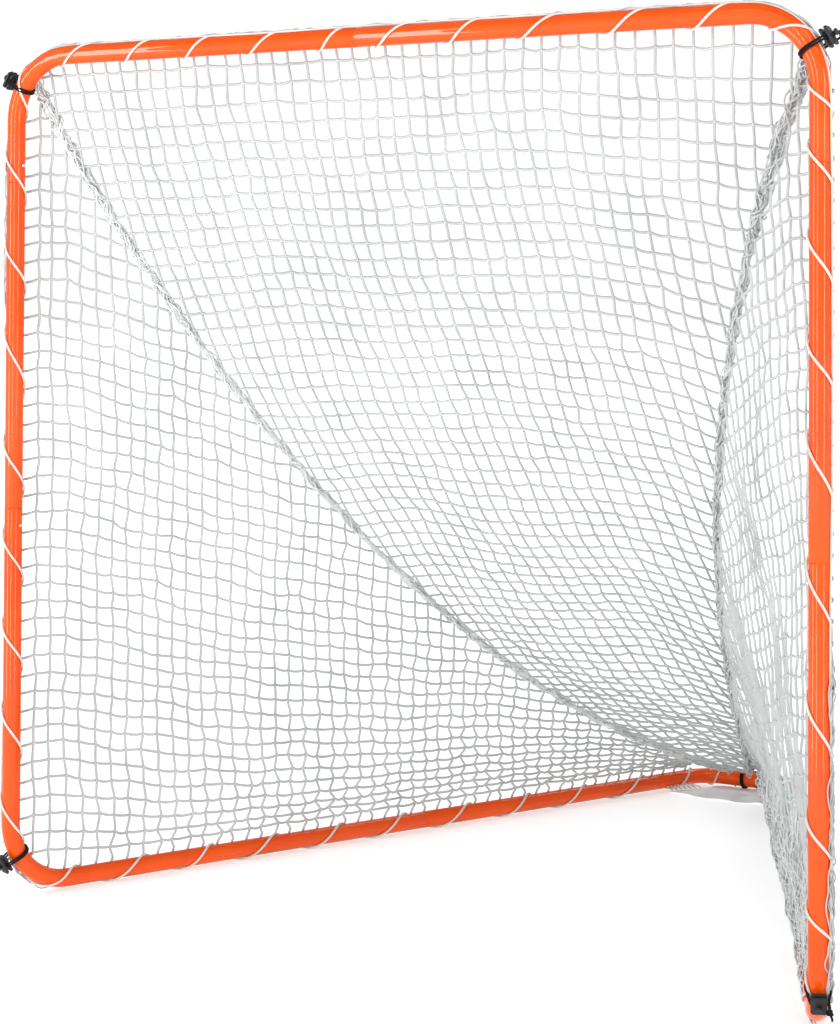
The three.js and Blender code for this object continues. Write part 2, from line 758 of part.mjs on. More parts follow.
// A square grid of strands cut to an outline, as spots and the strands between them.
function gridInside(outline, origin, pitch) {
  const spots = outline.map((p) => p.clone());
  const links = new Set();
  const link = (a, b) => a !== b && links.add(a < b ? `${a}-${b}` : `${b}-${a}`);
  outline.forEach((_, i) => link(i, (i + 1) % outline.length));
  const edges = outline.map((a, i) => [a, outline[(i + 1) % outline.length]]);
  const inside = (p) =>
    edges.filter(([a, b]) => a.y > p.y !== b.y > p.y && p.x < a.x + ((b.x - a.x) * (p.y - a.y)) / (b.y - a.y))
      .length % 2 === 1;
  const borderDistance = (p) =>
    Math.min(
      ...edges.map(([a, b]) => {
        const along = b.clone().sub(a);
        const share = THREE.MathUtils.clamp(p.clone().sub(a).dot(along) / along.lengthSq(), 0, 1);
        return p.distanceTo(a.clone().addScaledVector(along, share));
      }),
    );
  const size = Math.ceil((openingWidth + frameDepth) / pitch);
  const crossing = new Map();
  for (let i = -size; i <= size; i++) {
    for (let j = -size; j <= size; j++) {
      const spot = new THREE.Vector2(origin.x + i * pitch, origin.y + j * pitch);
      if (!inside(spot) || borderDistance(spot) < borderKeepShare * pitch) continue;
      crossing.set(`${i},${j}`, spots.push(spot) - 1);
    }
  }
  const nearestBorder = (from, way) => {
    const reach = way.clone().multiplyScalar(pitch / 2);
    const target = from.clone().add(reach);
    const ahead = outline.map((p, i) => ({ i, p })).filter(({ p }) => p.clone().sub(from).dot(way) > 0);
    ahead.sort((a, b) => a.p.distanceTo(target) - b.p.distanceTo(target));
    return ahead[0].i;
  };
  for (const [key, at] of crossing) {
    const [i, j] = key.split(",").map(Number);
    for (const [di, dj] of [[1, 0], [-1, 0], [0, 1], [0, -1]]) {
      const next = crossing.get(`${i + di},${j + dj}`);
      link(at, next ?? nearestBorder(spots[at], new THREE.Vector2(di, dj)));
    }
  }
  return { spots, links: [...links].map((text) => text.split("-").map(Number)) };
}

// Gives the strands of a flat net their width and thickness, and hangs it on its surface.
function netGeometry(name, { spots, links }, hang) {
  const half = strandWidth / 2;
  const neighbours = spots.map(() => []);
  for (const [a, b] of links) {
    neighbours[a].push({ to: b, way: spots[b].clone().sub(spots[a]) });
    neighbours[b].push({ to: a, way: spots[a].clone().sub(spots[b]) });
  }
  const places = [];
  const faces = [];
  const quad = (a, b, c, d) => faces.push(a, b, c, a, c, d);
  // Each spot has one corner between each pair of strands that follow each other round it.
  const cornerOf = neighbours.map((list, at) => {
    list.sort((a, b) => Math.atan2(a.way.y, a.way.x) - Math.atan2(b.way.y, b.way.x));
    const corners = list.map(({ way }, k) => {
      const a = way.clone().normalize();
      const b = list[(k + 1) % list.length].way.clone().normalize();
      const cross = a.x * b.y - a.y * b.x;
      const square = new THREE.Vector2(-a.y, a.x);
      const nearlyStraight = 0.05;
      const offset =
        Math.abs(cross) < nearlyStraight
          ? square.multiplyScalar(half)
          : a.add(b).multiplyScalar(half / cross);
      const longest = strandPitch / 4;
      if (offset.length() > longest) offset.setLength(longest);
      const corner = spots[at].clone().add(offset);
      const { spot, normal } = hang(corner.x, corner.y);
      return places.push(onLine(spot, normal, strandThickness / 2)) - 1;
    });
    for (let k = 1; k + 1 < corners.length; k++) faces.push(corners[0], corners[k], corners[k + 1]);
    const { spot, normal } = hang(spots[at].x, spots[at].y);
    const keel = places.push(onLine(spot, normal, -strandThickness / 2)) - 1;
    return new Map(
      list.map(({ to }, k) => [to, { keel, left: corners[k], right: corners.at(k - 1) }]),
    );
  });
  for (const [a, b] of links) {
    const near = cornerOf[a].get(b);
    const far = cornerOf[b].get(a);
    quad(near.right, far.left, far.right, near.left);
    quad(near.left, far.right, far.keel, near.keel);
    quad(far.left, near.right, near.keel, far.keel);
  }
  console.log(`${name}: ${links.length - spots.length + 1} gaps, ${faces.length / 3} triangles`);
  return meshOf(places, faces);
}

const flat = (x, y) => new THREE.Vector2(x, y);

function roofNet() {
  const straightHalf = halfSpacing - frontBendRadius;
  const columns = Math.floor(straightHalf / strandPitch);
  const bar = Array.from({ length: 2 * columns + 1 }, (_, i) => flat((columns - i) * strandPitch, 0));
  const leftRidge = ridgeShares.map((s) => flat(-ridgeSpread(s) + borderHalf, s * roofLength));
  const rightRidge = ridgeShares.map((s) => flat(ridgeSpread(s) - borderHalf, s * roofLength)).reverse();
  const outline = [flat(straightHalf, 0), ...bar, flat(-straightHalf, 0), ...leftRidge, ...rightRidge].reverse();
  return netGeometry("roof net", gridInside(outline, flat(0, 0), strandPitch), roofPoint);
}

function sideNet() {
  const corner = frontBendRadius - netStandoff;
  const ridge = ridgeShares.map((share) => {
    const spot = roofLine.getPointAt(share);
    const back = solve(sideStart, baseLength, depthAtRidge, spot.y);
    return flat(back, sideRidge(back).distanceTo(sideFoot(back)));
  });
  const [first, last] = [ridge[0], ridge.at(-1)];
  const rows = Math.floor((first.y - corner) / strandPitch);
  const post = Array.from({ length: rows + 1 }, (_, j) => flat(sideStart, corner + (rows - j) * strandPitch));
  const columns = Math.floor((last.x - corner - sideStart) / strandPitch);
  const base = Array.from({ length: columns + 1 }, (_, i) => flat(sideStart + corner + i * strandPitch, 0));
  const bend = corner * (1 - Math.SQRT1_2);
  const outline = [...post, flat(sideStart + bend, bend), ...base, flat(last.x, 0), ...ridge.reverse()];
  return netGeometry("side net", gridInside(outline, flat(sideStart + corner, corner), strandPitch), sidePoint);
}

// The cloth gusset lies on the ground inside the rear tube, folded a little.
function skirtGeometry() {
  const places = [];
  const faces = [];
  const rearEdge = frameDepth - tubeRadius + skirtTuck;
  const tubeUnderside = baseHeight - tubeRadius * Math.cos(Math.PI / tubeSides);
  const rearLift = tubeUnderside - skirtTubeGap - skirtThickness;
  for (let j = 0; j <= skirtRows; j++) {
    for (let i = 0; i <= skirtColumns; i++) {
      const [across, forward] = [(2 * i) / skirtColumns - 1, j / skirtRows];
      const half = skirtRearHalf + (skirtFrontHalf - skirtRearHalf) * forward;
      const wave = (1 - Math.cos(2 * Math.PI * skirtFolds * (i / skirtColumns))) / 2;
      const notched = Math.abs(i - skirtColumns / 2) <= skirtNotchColumns && j === 0;
      const reach = notched ? skirtNotchDepth : skirtReach * forward * (1 - across * across * forward);
      const lift = j === 0 ? rearLift : skirtSag * wave;
      places.push(point(half * across, rearEdge - reach, lift + skirtThickness));
      places.push(point(half * across, rearEdge - reach, lift));
    }
  }
  const top = (i, j) => 2 * (j * (skirtColumns + 1) + i);
  const under = (i, j) => top(i, j) + 1;
  const quad = (a, b, c, d) => faces.push(a, b, c, a, c, d);
  const edge = ([i, j], [k, l]) => quad(top(i, j), top(k, l), under(k, l), under(i, j));
  for (let j = 0; j < skirtRows; j++) {
    for (let i = 0; i < skirtColumns; i++) {
      quad(top(i, j), top(i, j + 1), top(i + 1, j + 1), top(i + 1, j));
      quad(under(i, j), under(i + 1, j), under(i + 1, j + 1), under(i, j + 1));
    }
  }
  for (let i = 0; i < skirtColumns; i++) {
    edge([i, 0], [i + 1, 0]);
    edge([i + 1, skirtRows], [i, skirtRows]);
  }
  for (let j = 0; j < skirtRows; j++) {
    edge([0, j + 1], [0, j]);
    edge([skirtColumns, j], [skirtColumns, j + 1]);
  }
  return meshOf(places, faces);
}

// The assembly
const goal = new THREE.Group();

function addPiece(name, geometry, finish, matrix) {
  const mesh = new THREE.Mesh(geometry, new THREE.MeshStandardMaterial(finish));
  mesh.name = name;
  if (matrix) matrix.decompose(mesh.position, mesh.quaternion, mesh.scale);
  goal.add(mesh);
}

const tubeNames = [
  "left_base_tube",
  "bottom_left_corner_tube",
  "left_post_tube",
  "top_left_corner_tube",
  "top_right_corner_tube",
  "right_post_tube",
  "bottom_right_corner_tube",
  "right_base_tube",
  "rear_base_tube",
];
tubeNames.forEach((name, i) => {
  addPiece(name, tubeBetween(joints[i], joints[(i + 1) % joints.length]), orangePowder);
});

const stud = studGeometry();
const leaf = leafGeometry();
for (const joint of joints) {
  addPiece(`${joint.name}_snap_button`, stud, brightSteel, studFrame(joint));
  addPiece(`${joint.name}_button_spring`, leaf, brightSteel, studFrame(joint));
}

// Each lock stands out from its bend, thirty degrees round it from the post.
const lockTurn = THREE.MathUtils.degToRad(lockBendAngle);
const lockPlaces = [
  { name: "top_left", bend: ring.bends.topLeft, turn: lockTurn },
  { name: "top_right", bend: ring.bends.topRight, turn: Math.PI / 2 - lockTurn },
  { name: "bottom_left", bend: ring.bends.bottomLeft, turn: Math.PI / 2 - lockTurn },
  { name: "bottom_right", bend: ring.bends.bottomRight, turn: lockTurn },
];
const lockFrames = lockPlaces.map(({ name, bend, turn }) => {
  const spot = ring.at(bend.start + frontBendRadius * turn);
  const inward = bend.inward.clone().multiplyScalar(Math.cos(turn)).addScaledVector(bend.coming, -Math.sin(turn));
  const side = inward.clone().negate().cross(spot.tangent);
  const along = side.y < 0 ? spot.tangent.negate() : spot.tangent;
  return { name, matrix: frameAt(spot.point, inward.negate(), along) };
});
lockFrames.push({ name: "rear", matrix: frameAt(rearMiddle, rearward, point(-1, 0, 0)) });

const lockBody = lockBodyGeometry();
const plunger = plungerGeometry();
const coil = coilGeometry();
const elastic = elasticGeometry();
for (const { name, matrix } of lockFrames) {
  addPiece(`${name}_cord_lock_body`, lockBody, blackPlastic, matrix);
  addPiece(`${name}_cord_lock_plunger`, plunger, blackPlastic, matrix);
  addPiece(`${name}_cord_lock_spring`, coil, blackSteel, matrix);
  addPiece(`${name}_elastic_loop`, elastic, blackElastic, matrix);
}

// Lacing: it starts beside each bend and crosses the front of the tube downwards to the right.
const laceMargin = 2 * laceRadius;
const postFoot = baseHeight + frontBendRadius + laceMargin;
const postHead = crossbarHeight - frontBendRadius - laceMargin;
const postButtons = {
  first: postHead - (crossbarHeight - highSeamDrop + buttonReach),
  second: postHead - (baseHeight + lowSeamRise - buttonReach),
  oddTurnShare: postLaceOddTurnShare,
};
const postLace = (name, x, start) =>
  lacing(name, point(x, 0, postHead), point(x, 0, postFoot), rearward, postLacePitch, start, postButtons);
addPiece("left_post_lacing", postLace("left post lacing", -halfSpacing, leftPostLaceStart), whiteCord);
addPiece("right_post_lacing", postLace("right post lacing", halfSpacing, rightPostLaceStart), whiteCord);

const barReach = halfSpacing - frontBendRadius - laceMargin;
const barFrom = point(-barReach, 0, crossbarHeight);
const barTo = point(barReach, 0, crossbarHeight);
const barLace = lacing("crossbar lacing", barFrom, barTo, rearward, crossbarLacePitch, crossbarLaceStart);
addPiece("crossbar_lacing", barLace, whiteCord);

const baseLaceReach = frontBendRadius + laceMargin;
const sideFrom = onLine(corners.bottomLeft.at, baseDirection, baseLaceReach);
const sideTo = onLine(corners.rearLeft.at, baseDirection, -ring.bends.rearLeft.trim - laceMargin);
const sideButtons = {
  first: frontSeamReach - buttonReach - baseLaceReach,
  second: baseLength - rearSeamReach + buttonReach - baseLaceReach,
  oddTurnShare: baseLaceOddTurnShare,
};
const sideWinding = [downward, baseLacePitch, baseLaceStart, sideButtons];
const sideLace = pressedFlat(lacing("base lacing", sideFrom, sideTo, ...sideWinding));
addPiece("left_base_lacing", sideLace, whiteCord);
addPiece("right_base_lacing", mirrored(sideLace), whiteCord);

const leftNet = sideNet();
addPiece("roof_net", roofNet(), whiteNet);
addPiece("left_side_net", leftNet, whiteNet);
addPiece("right_side_net", mirrored(leftNet), whiteNet);
addPiece("ground_skirt", skirtGeometry(), whiteCloth);

// The origin is on the ground, under the middle of the goal.
const reachBox = new THREE.Box3().setFromObject(goal, true);
const middle = reachBox.getCenter(new THREE.Vector3());
goal.position.set(-middle.x, -middle.y, -reachBox.min.z);

const lacrosseGoal = new THREE.Group();
lacrosseGoal.add(goal);

export default lacrosseGoal;
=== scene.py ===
"""A take-apart lacrosse goal: steel tube frame, laced square-mesh net, cord locks on elastic loops.

Everything is in metres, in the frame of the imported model. Shapes are worked out in the goal's own
coordinates (the mouth in the plane y = 0, the middle of the mouth at x = 0) and moved at the end.
"""

import logging
import math
from collections.abc import Callable, Iterable
from dataclasses import dataclass, field
from enum import Enum
from typing import Protocol

import bmesh
import bpy
import numpy as np
from mathutils import Matrix, Vector


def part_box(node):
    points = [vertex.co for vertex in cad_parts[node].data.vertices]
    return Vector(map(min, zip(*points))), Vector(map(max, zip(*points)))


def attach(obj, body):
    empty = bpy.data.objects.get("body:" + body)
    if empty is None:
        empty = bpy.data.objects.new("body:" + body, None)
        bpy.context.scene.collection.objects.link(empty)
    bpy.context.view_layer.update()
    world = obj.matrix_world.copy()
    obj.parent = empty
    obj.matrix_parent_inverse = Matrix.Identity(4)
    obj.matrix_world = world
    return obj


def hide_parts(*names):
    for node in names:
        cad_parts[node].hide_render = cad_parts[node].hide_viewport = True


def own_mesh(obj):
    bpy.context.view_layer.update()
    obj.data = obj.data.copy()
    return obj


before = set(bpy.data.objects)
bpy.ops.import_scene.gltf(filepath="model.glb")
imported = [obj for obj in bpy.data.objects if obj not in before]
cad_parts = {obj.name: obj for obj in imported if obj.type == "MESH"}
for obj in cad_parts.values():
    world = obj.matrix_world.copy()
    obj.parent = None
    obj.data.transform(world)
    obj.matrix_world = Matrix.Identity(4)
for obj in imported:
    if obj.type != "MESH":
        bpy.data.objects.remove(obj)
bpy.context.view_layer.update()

LOG = logging.getLogger("lacrosse_goal")
ROOT = "frame_and_net"
Points = np.ndarray
UP = np.array([0.0, 0.0, 1.0])
RIGHTWARD = np.array([1.0, 0.0, 0.0])
REARWARD = np.array([0.0, 1.0, 0.0])
MIRROR = np.array([-1.0, 1.0, 1.0])


def unit(vector: Points) -> Points:
    """Returns the vector, or each row of an array of them, at length one."""
    return vector / np.linalg.norm(vector, axis=-1, keepdims=True)


def distances(line: Points) -> Points:
    """Returns how far along a line each of its points lies."""
    return np.concatenate([[0.0], np.cumsum(np.linalg.norm(np.diff(line, axis=0), axis=1))])


def circle(sides: int, first: Points, second: Points) -> Points:
    """Returns the corners of a circle of radius one in the plane of two directions."""
    angles = 2 * np.pi * np.arange(sides) / sides
    return np.cos(angles)[:, None] * first + np.sin(angles)[:, None] * second


def smoothed(values: Points, half_window: int) -> Points:
    """Returns a row of values averaged over a soft window.

    Args:
        values: The row.
        half_window: How many neighbours on each side count.

    Returns:
        As many values.
    """
    window = np.hanning(2 * half_window + 1)
    padded = np.pad(values, half_window, mode="reflect", reflect_type="odd")
    return np.convolve(padded, window / window.sum(), mode="valid")


def middle_of(node: str) -> Points:
    """Returns the middle of a node's box at rest."""
    low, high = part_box(node)
    return (np.array(low) + np.array(high)) / 2


class Corner(Enum):
    """The ring's corners, in the order in which the ring meets them."""

    REAR_LEFT = 0
    BOTTOM_LEFT = 1
    TOP_LEFT = 2
    TOP_RIGHT = 3
    BOTTOM_RIGHT = 4
    REAR_RIGHT = 5


class Side(Enum):
    """The two sides of the goal, as the sign of x."""

    LEFT = -1
    RIGHT = 1

    @property
    def word(self) -> str:
        """The side's name in the names of pieces."""
        return self.name.lower()

    @property
    def flip(self) -> Points:
        """What places of the left side are multiplied by to lie on this side."""
        return MIRROR if self is Side.RIGHT else np.ones(3)


@dataclass(frozen=True)
class GoalSizes:
    """The frame's driving sizes."""

    half_spacing: float
    base_height: float
    crossbar_height: float
    place: tuple[float, float, float]
    frame_depth: float = 1.945
    rear_width: float = 0.24
    tube_radius: float = 0.020
    tube_wall: float = 0.0012
    front_bend: float = 0.14
    rear_bend: float = 0.09

    @classmethod
    def from_frame(cls) -> "GoalSizes":
        """Reads the posts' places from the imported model.

        Returns:
            The sizes.
        """
        left, right = middle_of("left_post_tube"), middle_of("right_post_tube")
        base = middle_of("left_base_tube")
        crossbar_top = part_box("top_left_corner_tube")[1][2]
        half_flat = (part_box("left_base_tube")[1][2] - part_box("left_base_tube")[0][2]) / 2
        return cls(
            half_spacing=(right[0] - left[0]) / 2,
            base_height=base[2],
            crossbar_height=crossbar_top - half_flat,
            place=((left[0] + right[0]) / 2, left[1], 0.0),
        )


class MeshMaker:
    """Grows one mesh from batches of points and faces."""

    def __init__(self) -> None:
        """Starts with no points."""
        self._points: list[Points] = []
        self._corners: list[Points] = []
        self._totals: list[Points] = []
        self._uvs: list[Points] = []
        self._count = 0

    def add(self, points: Points, faces: Points, uvs: Points | None = None) -> None:
        """Adds points and faces that all have the same number of corners.

        Args:
            points: An array of n by 3.
            faces: Corner numbers into points, an array of m by k.
            uvs: A texture place for each corner, m by k by 2.
        """
        faces = np.asarray(faces)
        if uvs is None:
            uvs = np.zeros((*faces.shape, 2))
        self._points.append(np.asarray(points, float).reshape(-1, 3))
        self._corners.append((faces + self._count).ravel())
        self._totals.append(np.full(len(faces), faces.shape[1]))
        self._uvs.append(np.asarray(uvs, float).reshape(-1, 2))
        self._count += len(self._points[-1])

    def tube(
        self,
        path: Points,
        radius: float | Points,
        sides: int,
        lift: Points,
        flatness: float = 1.0,
        closed: bool = False,
    ) -> None:
        """Adds a round cord along a path, with its ends closed.

        Args:
            path: The middle line, n by 3.
            radius: One radius or one for each point.
            sides: Corners of the section.
            lift: A direction, or one for each point, that is never along the path.
            flatness: The section's thickness along lift as a share of its width.
            closed: Whether the last point joins the first.
        """
        count = len(path)
        if closed:
            tangents = unit(np.roll(path, -1, axis=0) - np.roll(path, 1, axis=0))
        else:
            tangents = unit(np.gradient(path, axis=0))
        across = unit(np.cross(tangents, np.broadcast_to(lift, path.shape)))
        rise = np.cross(across, tangents)
        angles = 2 * np.pi * np.arange(sides) / sides
        reach = np.broadcast_to(np.asarray(radius, float), (count,))[:, None, None]
        section = (
            across[:, None, :] * np.cos(angles)[None, :, None]
            + rise[:, None, :] * (np.sin(angles) * flatness)[None, :, None]
        )
        points = (path[:, None, :] + section * reach).reshape(-1, 3)
        rings = count if closed else count - 1
        ring = np.repeat(np.arange(rings), sides)
        turn = np.tile(np.arange(sides), rings)
        after = (ring + 1) % count
        beside = (turn + 1) % sides
        faces = np.stack(
            [ring * sides + turn, ring * sides + beside, after * sides + beside, after * sides + turn], axis=1
        )
        along = distances(path)
        along = np.append(along, along[-1] + np.linalg.norm(path[0] - path[-1]))
        u0, u1 = turn / sides, (turn + 1) / sides
        v0, v1 = along[ring], along[ring + 1]
        uvs = np.stack([np.stack(p, axis=1) for p in ((u0, v0), (u1, v0), (u1, v1), (u0, v1))], axis=1)
        self.add(points, faces, uvs)
        if not closed:
            base = self._count - len(points)
            for faces_end in (np.arange(sides)[::-1], (count - 1) * sides + np.arange(sides)):
                self._corners.append(faces_end + base)
                self._totals.append(np.array([sides]))
                self._uvs.append(np.zeros((sides, 2)))

    def grid(self, points: Points, closed_across: bool = False, flip: bool = False) -> None:
        """Adds a sheet of four-cornered faces.

        Args:
            points: An array of rows by columns by 3.
            closed_across: Whether each row's last point joins its first.
            flip: Whether the faces look the other way.
        """
        rows, columns = points.shape[:2]
        spans = columns if closed_across else columns - 1
        row = np.repeat(np.arange(rows - 1), spans)
        column = np.tile(np.arange(spans), rows - 1)
        beside = (column + 1) % columns
        faces = np.stack(
            [
                row * columns + column,
                row * columns + beside,
                (row + 1) * columns + beside,
                (row + 1) * columns + column,
            ],
            axis=1,
        )
        if flip:
            faces = faces[:, ::-1]
        self.add(points.reshape(-1, 3), faces)

    def lumps(self, centres: Points, radii: Points, turns: np.random.Generator) -> None:
        """Adds a small rounded knot at each centre, each turned its own way.

        Args:
            centres: An array of n by 3.
            radii: Half the length of the knot along each of its axes, n by 3.
            turns: The source of the turns.
        """
        golden = (1 + math.sqrt(5)) / 2
        corners = unit(
            np.array(
                [(a, b * golden, 0) for a in (-1, 1) for b in (-1, 1)]
                + [(0, a, b * golden) for a in (-1, 1) for b in (-1, 1)]
                + [(b * golden, 0, a) for a in (-1, 1) for b in (-1, 1)]
            )
        )
        hull = bmesh.new()
        for corner in corners:
            hull.verts.new(corner)
        bmesh.ops.convex_hull(hull, input=list(hull.verts))
        hull.verts.index_update()
        faces = np.array([[v.index for v in f.verts] for f in hull.faces])
        corners = np.array([v.co for v in hull.verts])
        hull.free()
        spin = turns.normal(size=(len(centres), 3, 3))
        first = unit(spin[:, 0])
        third = unit(np.cross(first, spin[:, 1]))
        second = np.cross(third, first)
        axes = np.stack([first, second, third], axis=1) * radii[:, :, None]
        points = np.einsum("kc,ncx->nkx", corners, axes) + centres[:, None, :]
        shift = (np.arange(len(centres)) * len(corners))[:, None, None]
        self.add(points.reshape(-1, 3), (faces[None] + shift).reshape(-1, 3))

    def finish(
        self, name: str, finish: "Finish", place: Iterable[float] = (0.0, 0.0, 0.0)
    ) -> bpy.types.Object:
        """Makes the object, shaded smooth.

        Args:
            name: The piece's name.
            finish: Its finish.
            place: What is added to every point.

        Returns:
            The new object, linked to the scene.
        """
        mesh = bpy.data.meshes.new(name)
        points = np.concatenate(self._points) + np.array(tuple(place))
        corners = np.concatenate(self._corners).astype(np.int32)
        totals = np.concatenate(self._totals)
        mesh.vertices.add(len(points))
        mesh.vertices.foreach_set("co", points.ravel().astype(np.float32))
        mesh.loops.add(len(corners))
        mesh.loops.foreach_set("vertex_index", corners)
        mesh.polygons.add(len(totals))
        starts = np.concatenate([[0], np.cumsum(totals)[:-1]]).astype(np.int32)
        mesh.polygons.foreach_set("loop_start", starts)
        mesh.polygons.foreach_set("use_smooth", np.full(len(totals), True))
        layer = mesh.uv_layers.new(name="UVMap")
        layer.data.foreach_set("uv", np.concatenate(self._uvs).ravel().astype(np.float32))
        mesh.update(calc_edges=True)
        mesh.validate()
        mesh.materials.append(finish.material())
        piece = bpy.data.objects.new(name, mesh)
        bpy.context.scene.collection.objects.link(piece)
        return piece


def spline(points: Points, steps: int) -> Points:
    """Returns a smooth line through the points.

    Args:
        points: What the line passes, n by 3.
        steps: Pieces for each span.

    Returns:
        An array of steps * (n - 1) + 1 by 3.
    """
    padded = np.concatenate([[2 * points[0] - points[1]], points, [2 * points[-1] - points[-2]]])
    a, b, c, d = padded[:-3], padded[1:-2], padded[2:-1], padded[3:]
    t = (np.arange(steps) / steps)[None, :, None]
    a, b, c, d = (p[:, None, :] for p in (a, b, c, d))
    line = 0.5 * (2 * b + (c - a) * t + (2 * a - 5 * b + 4 * c - d) * t**2 + (3 * b - a - 3 * c + d) * t**3)
    return np.concatenate([line.reshape(-1, points.shape[1]), points[-1:]])


def ease(value: Points, start: float, reach: float) -> Points:
    """Takes a soft step."""
    share = np.clip((value - start) / reach, 0.0, 1.0)
    return share * share * (3 - 2 * share)


class Nodes:
    """Builds a material's node tree with short calls."""

    def __init__(self, name: str) -> None:
        """Makes an empty material with a Principled shader.

        Args:
            name: The material's name.
        """
        self.material = bpy.data.materials.new(name)
        self.material.use_nodes = True
        self.tree = self.material.node_tree
        self.shader = self.tree.nodes["Principled BSDF"]

    def add(self, kind: str, **values: object) -> bpy.types.Node:
        """Adds a node.

        Args:
            kind: The node's type without its ShaderNode prefix.
            **values: Properties by their own names, and sockets by their names with _ for spaces.

        Returns:
            The node.
        """
        node = self.tree.nodes.new(f"ShaderNode{kind}")
        for key, value in values.items():
            socket = node.inputs.get(key.replace("_", " "))
            if socket is not None:
                self._fill(socket, value)
            else:
                setattr(node, key, value)
        return node

    def _fill(self, socket: bpy.types.NodeSocket, value: object) -> None:
        """Links a value that is a socket, and sets any other.

        Args:
            socket: What gets it.
            value: The value.
        """
        if isinstance(value, bpy.types.NodeSocket):
            self.tree.links.new(value, socket)
        else:
            socket.default_value = value

    def math(self, operation: str, *values: bpy.types.NodeSocket | float) -> bpy.types.NodeSocket:
        """Adds a sum.

        Args:
            operation: The Math node's operation.
            *values: What it works on, in order, sockets or numbers.

        Returns:
            The sum's output.
        """
        node = self.add("Math", operation=operation)
        for socket, value in zip(node.inputs, values):
            self._fill(socket, value)
        return node.outputs[0]

    def ramp(
        self, source: bpy.types.NodeSocket, stops: list[tuple[float, tuple[float, ...]]]
    ) -> bpy.types.NodeSocket:
        """Adds a colour ramp.

        Args:
            source: What drives the ramp.
            stops: Each stop's place and colour.

        Returns:
            The ramp's output.
        """
        node = self.tree.nodes.new("ShaderNodeValToRGB")
        elements = node.color_ramp.elements
        while len(elements) < len(stops):
            elements.new(0.5)
        for element, (place, colour) in zip(elements, stops):
            element.position = place
            element.color = (*colour, 1.0)
        self.tree.links.new(source, node.inputs["Fac"])
        return node.outputs["Color"]

    def set(self, **values: object) -> None:
        """Sets or links the shader's sockets, named with _ for spaces."""
        for key, value in values.items():
            self._fill(self.shader.inputs[key.replace("_", " ")], value)

    def bump(self, height: bpy.types.NodeSocket, strength: float, distance: float) -> None:
        """Drives the shader's normal by a height."""
        node = self.add("Bump", Height=height, Strength=strength, Distance=distance)
        self.set(Normal=node.outputs["Normal"])


@dataclass(frozen=True)
class Finish:
    """A surface finish. Each kind fills in its own nodes."""

    name: str
    slot: str

    def material(self) -> bpy.types.Material:
        """Makes the finish's material at its first use.

        Returns:
            The material.
        """
        made = bpy.data.materials.get(self.name)
        if made is None:
            nodes = Nodes(self.name)
            self.dress(nodes)
            made = nodes.material
        return made

    def dress(self, nodes: Nodes) -> None:
        """Fills in the nodes."""
        raise NotImplementedError


@dataclass(frozen=True)
class PowderCoat(Finish):
    """Glossy powder coat with a faint orange peel and tiny rubbed patches."""

    colour: tuple[float, float, float] = (0.77, 0.076, 0.001)
    deep: tuple[float, float, float] = (0.71, 0.063, 0.001)
    # Dark olive brown painted on as shade along the underside next to the ground.
    painted_ground_shade: tuple[float, float, float] = (0.16, 0.10, 0.02)
    peel: float = 260.0
    ragged: float = 0.012
    painted_shade_heights: tuple[float, float] = (0.012, 0.022)

    def dress(self, nodes: Nodes) -> None:
        """Mixes two oranges, darkens the underside next to the ground with painted shade and bumps it all
        finely.

        Args:
            nodes: The material's node tree.
        """
        place = nodes.add("TexCoord").outputs["Object"]
        broad = nodes.add("TexNoise", Vector=place, Scale=7.0, Detail=3.0)
        orange = nodes.ramp(broad.outputs["Fac"], [(0.35, self.deep), (0.6, self.colour)])
        height = nodes.add("SeparateXYZ", Vector=place).outputs["Z"]
        ragged = nodes.math("MULTIPLY_ADD", broad.outputs["Fac"], self.ragged, height)
        # Painted shade: below these heights, ragged by the noise, the coat mixes towards the dark olive
        # brown.
        low, high = self.painted_shade_heights
        painted_shade_mask = nodes.add("MapRange", Value=ragged, From_Min=low, From_Max=high, To_Min=0.8, To_Max=0.0)
        mix = nodes.add("Mix", data_type="RGBA", Factor=painted_shade_mask.outputs["Result"])
        nodes.tree.links.new(orange, mix.inputs[6])
        mix.inputs[7].default_value = (*self.painted_ground_shade, 1.0)
        peel = nodes.add("TexNoise", Vector=place, Scale=self.peel, Detail=2.0)
        rub = nodes.ramp(
            nodes.add("TexNoise", Vector=place, Scale=26.0, Detail=6.0).outputs["Fac"],
            [(0.4, (0.08,) * 3), (0.75, (0.17,) * 3)],
        )
        nodes.set(
            Base_Color=mix.outputs[2],
            Roughness=rub,
            Specular_IOR_Level=0.0,
            Coat_Weight=0.66,
            Coat_Roughness=0.02,
        )
        nodes.bump(peel.outputs["Fac"], 0.12, 0.0004)


@dataclass(frozen=True)
class PlatedSteel(Finish):
    """Plated or blackened steel with fine dull spots."""

    colour: tuple[float, float, float] = (0.62, 0.63, 0.64)
    roughness: tuple[float, float] = (0.2, 0.42)

    def dress(self, nodes: Nodes) -> None:
        """Dulls the metal in fine spots.

        Args:
            nodes: The material's node tree.
        """
        place = nodes.add("TexCoord").outputs["Object"]
        spots = nodes.add("TexNoise", Vector=place, Scale=420.0, Detail=4.0)
        low, high = self.roughness
        nodes.set(
            Base_Color=(*self.colour, 1.0),
            Metallic=1.0,
            Roughness=nodes.ramp(spots.outputs["Fac"], [(0.3, (low,) * 3), (0.7, (high,) * 3)]),
        )
        nodes.bump(spots.outputs["Fac"], 0.15, 0.0002)


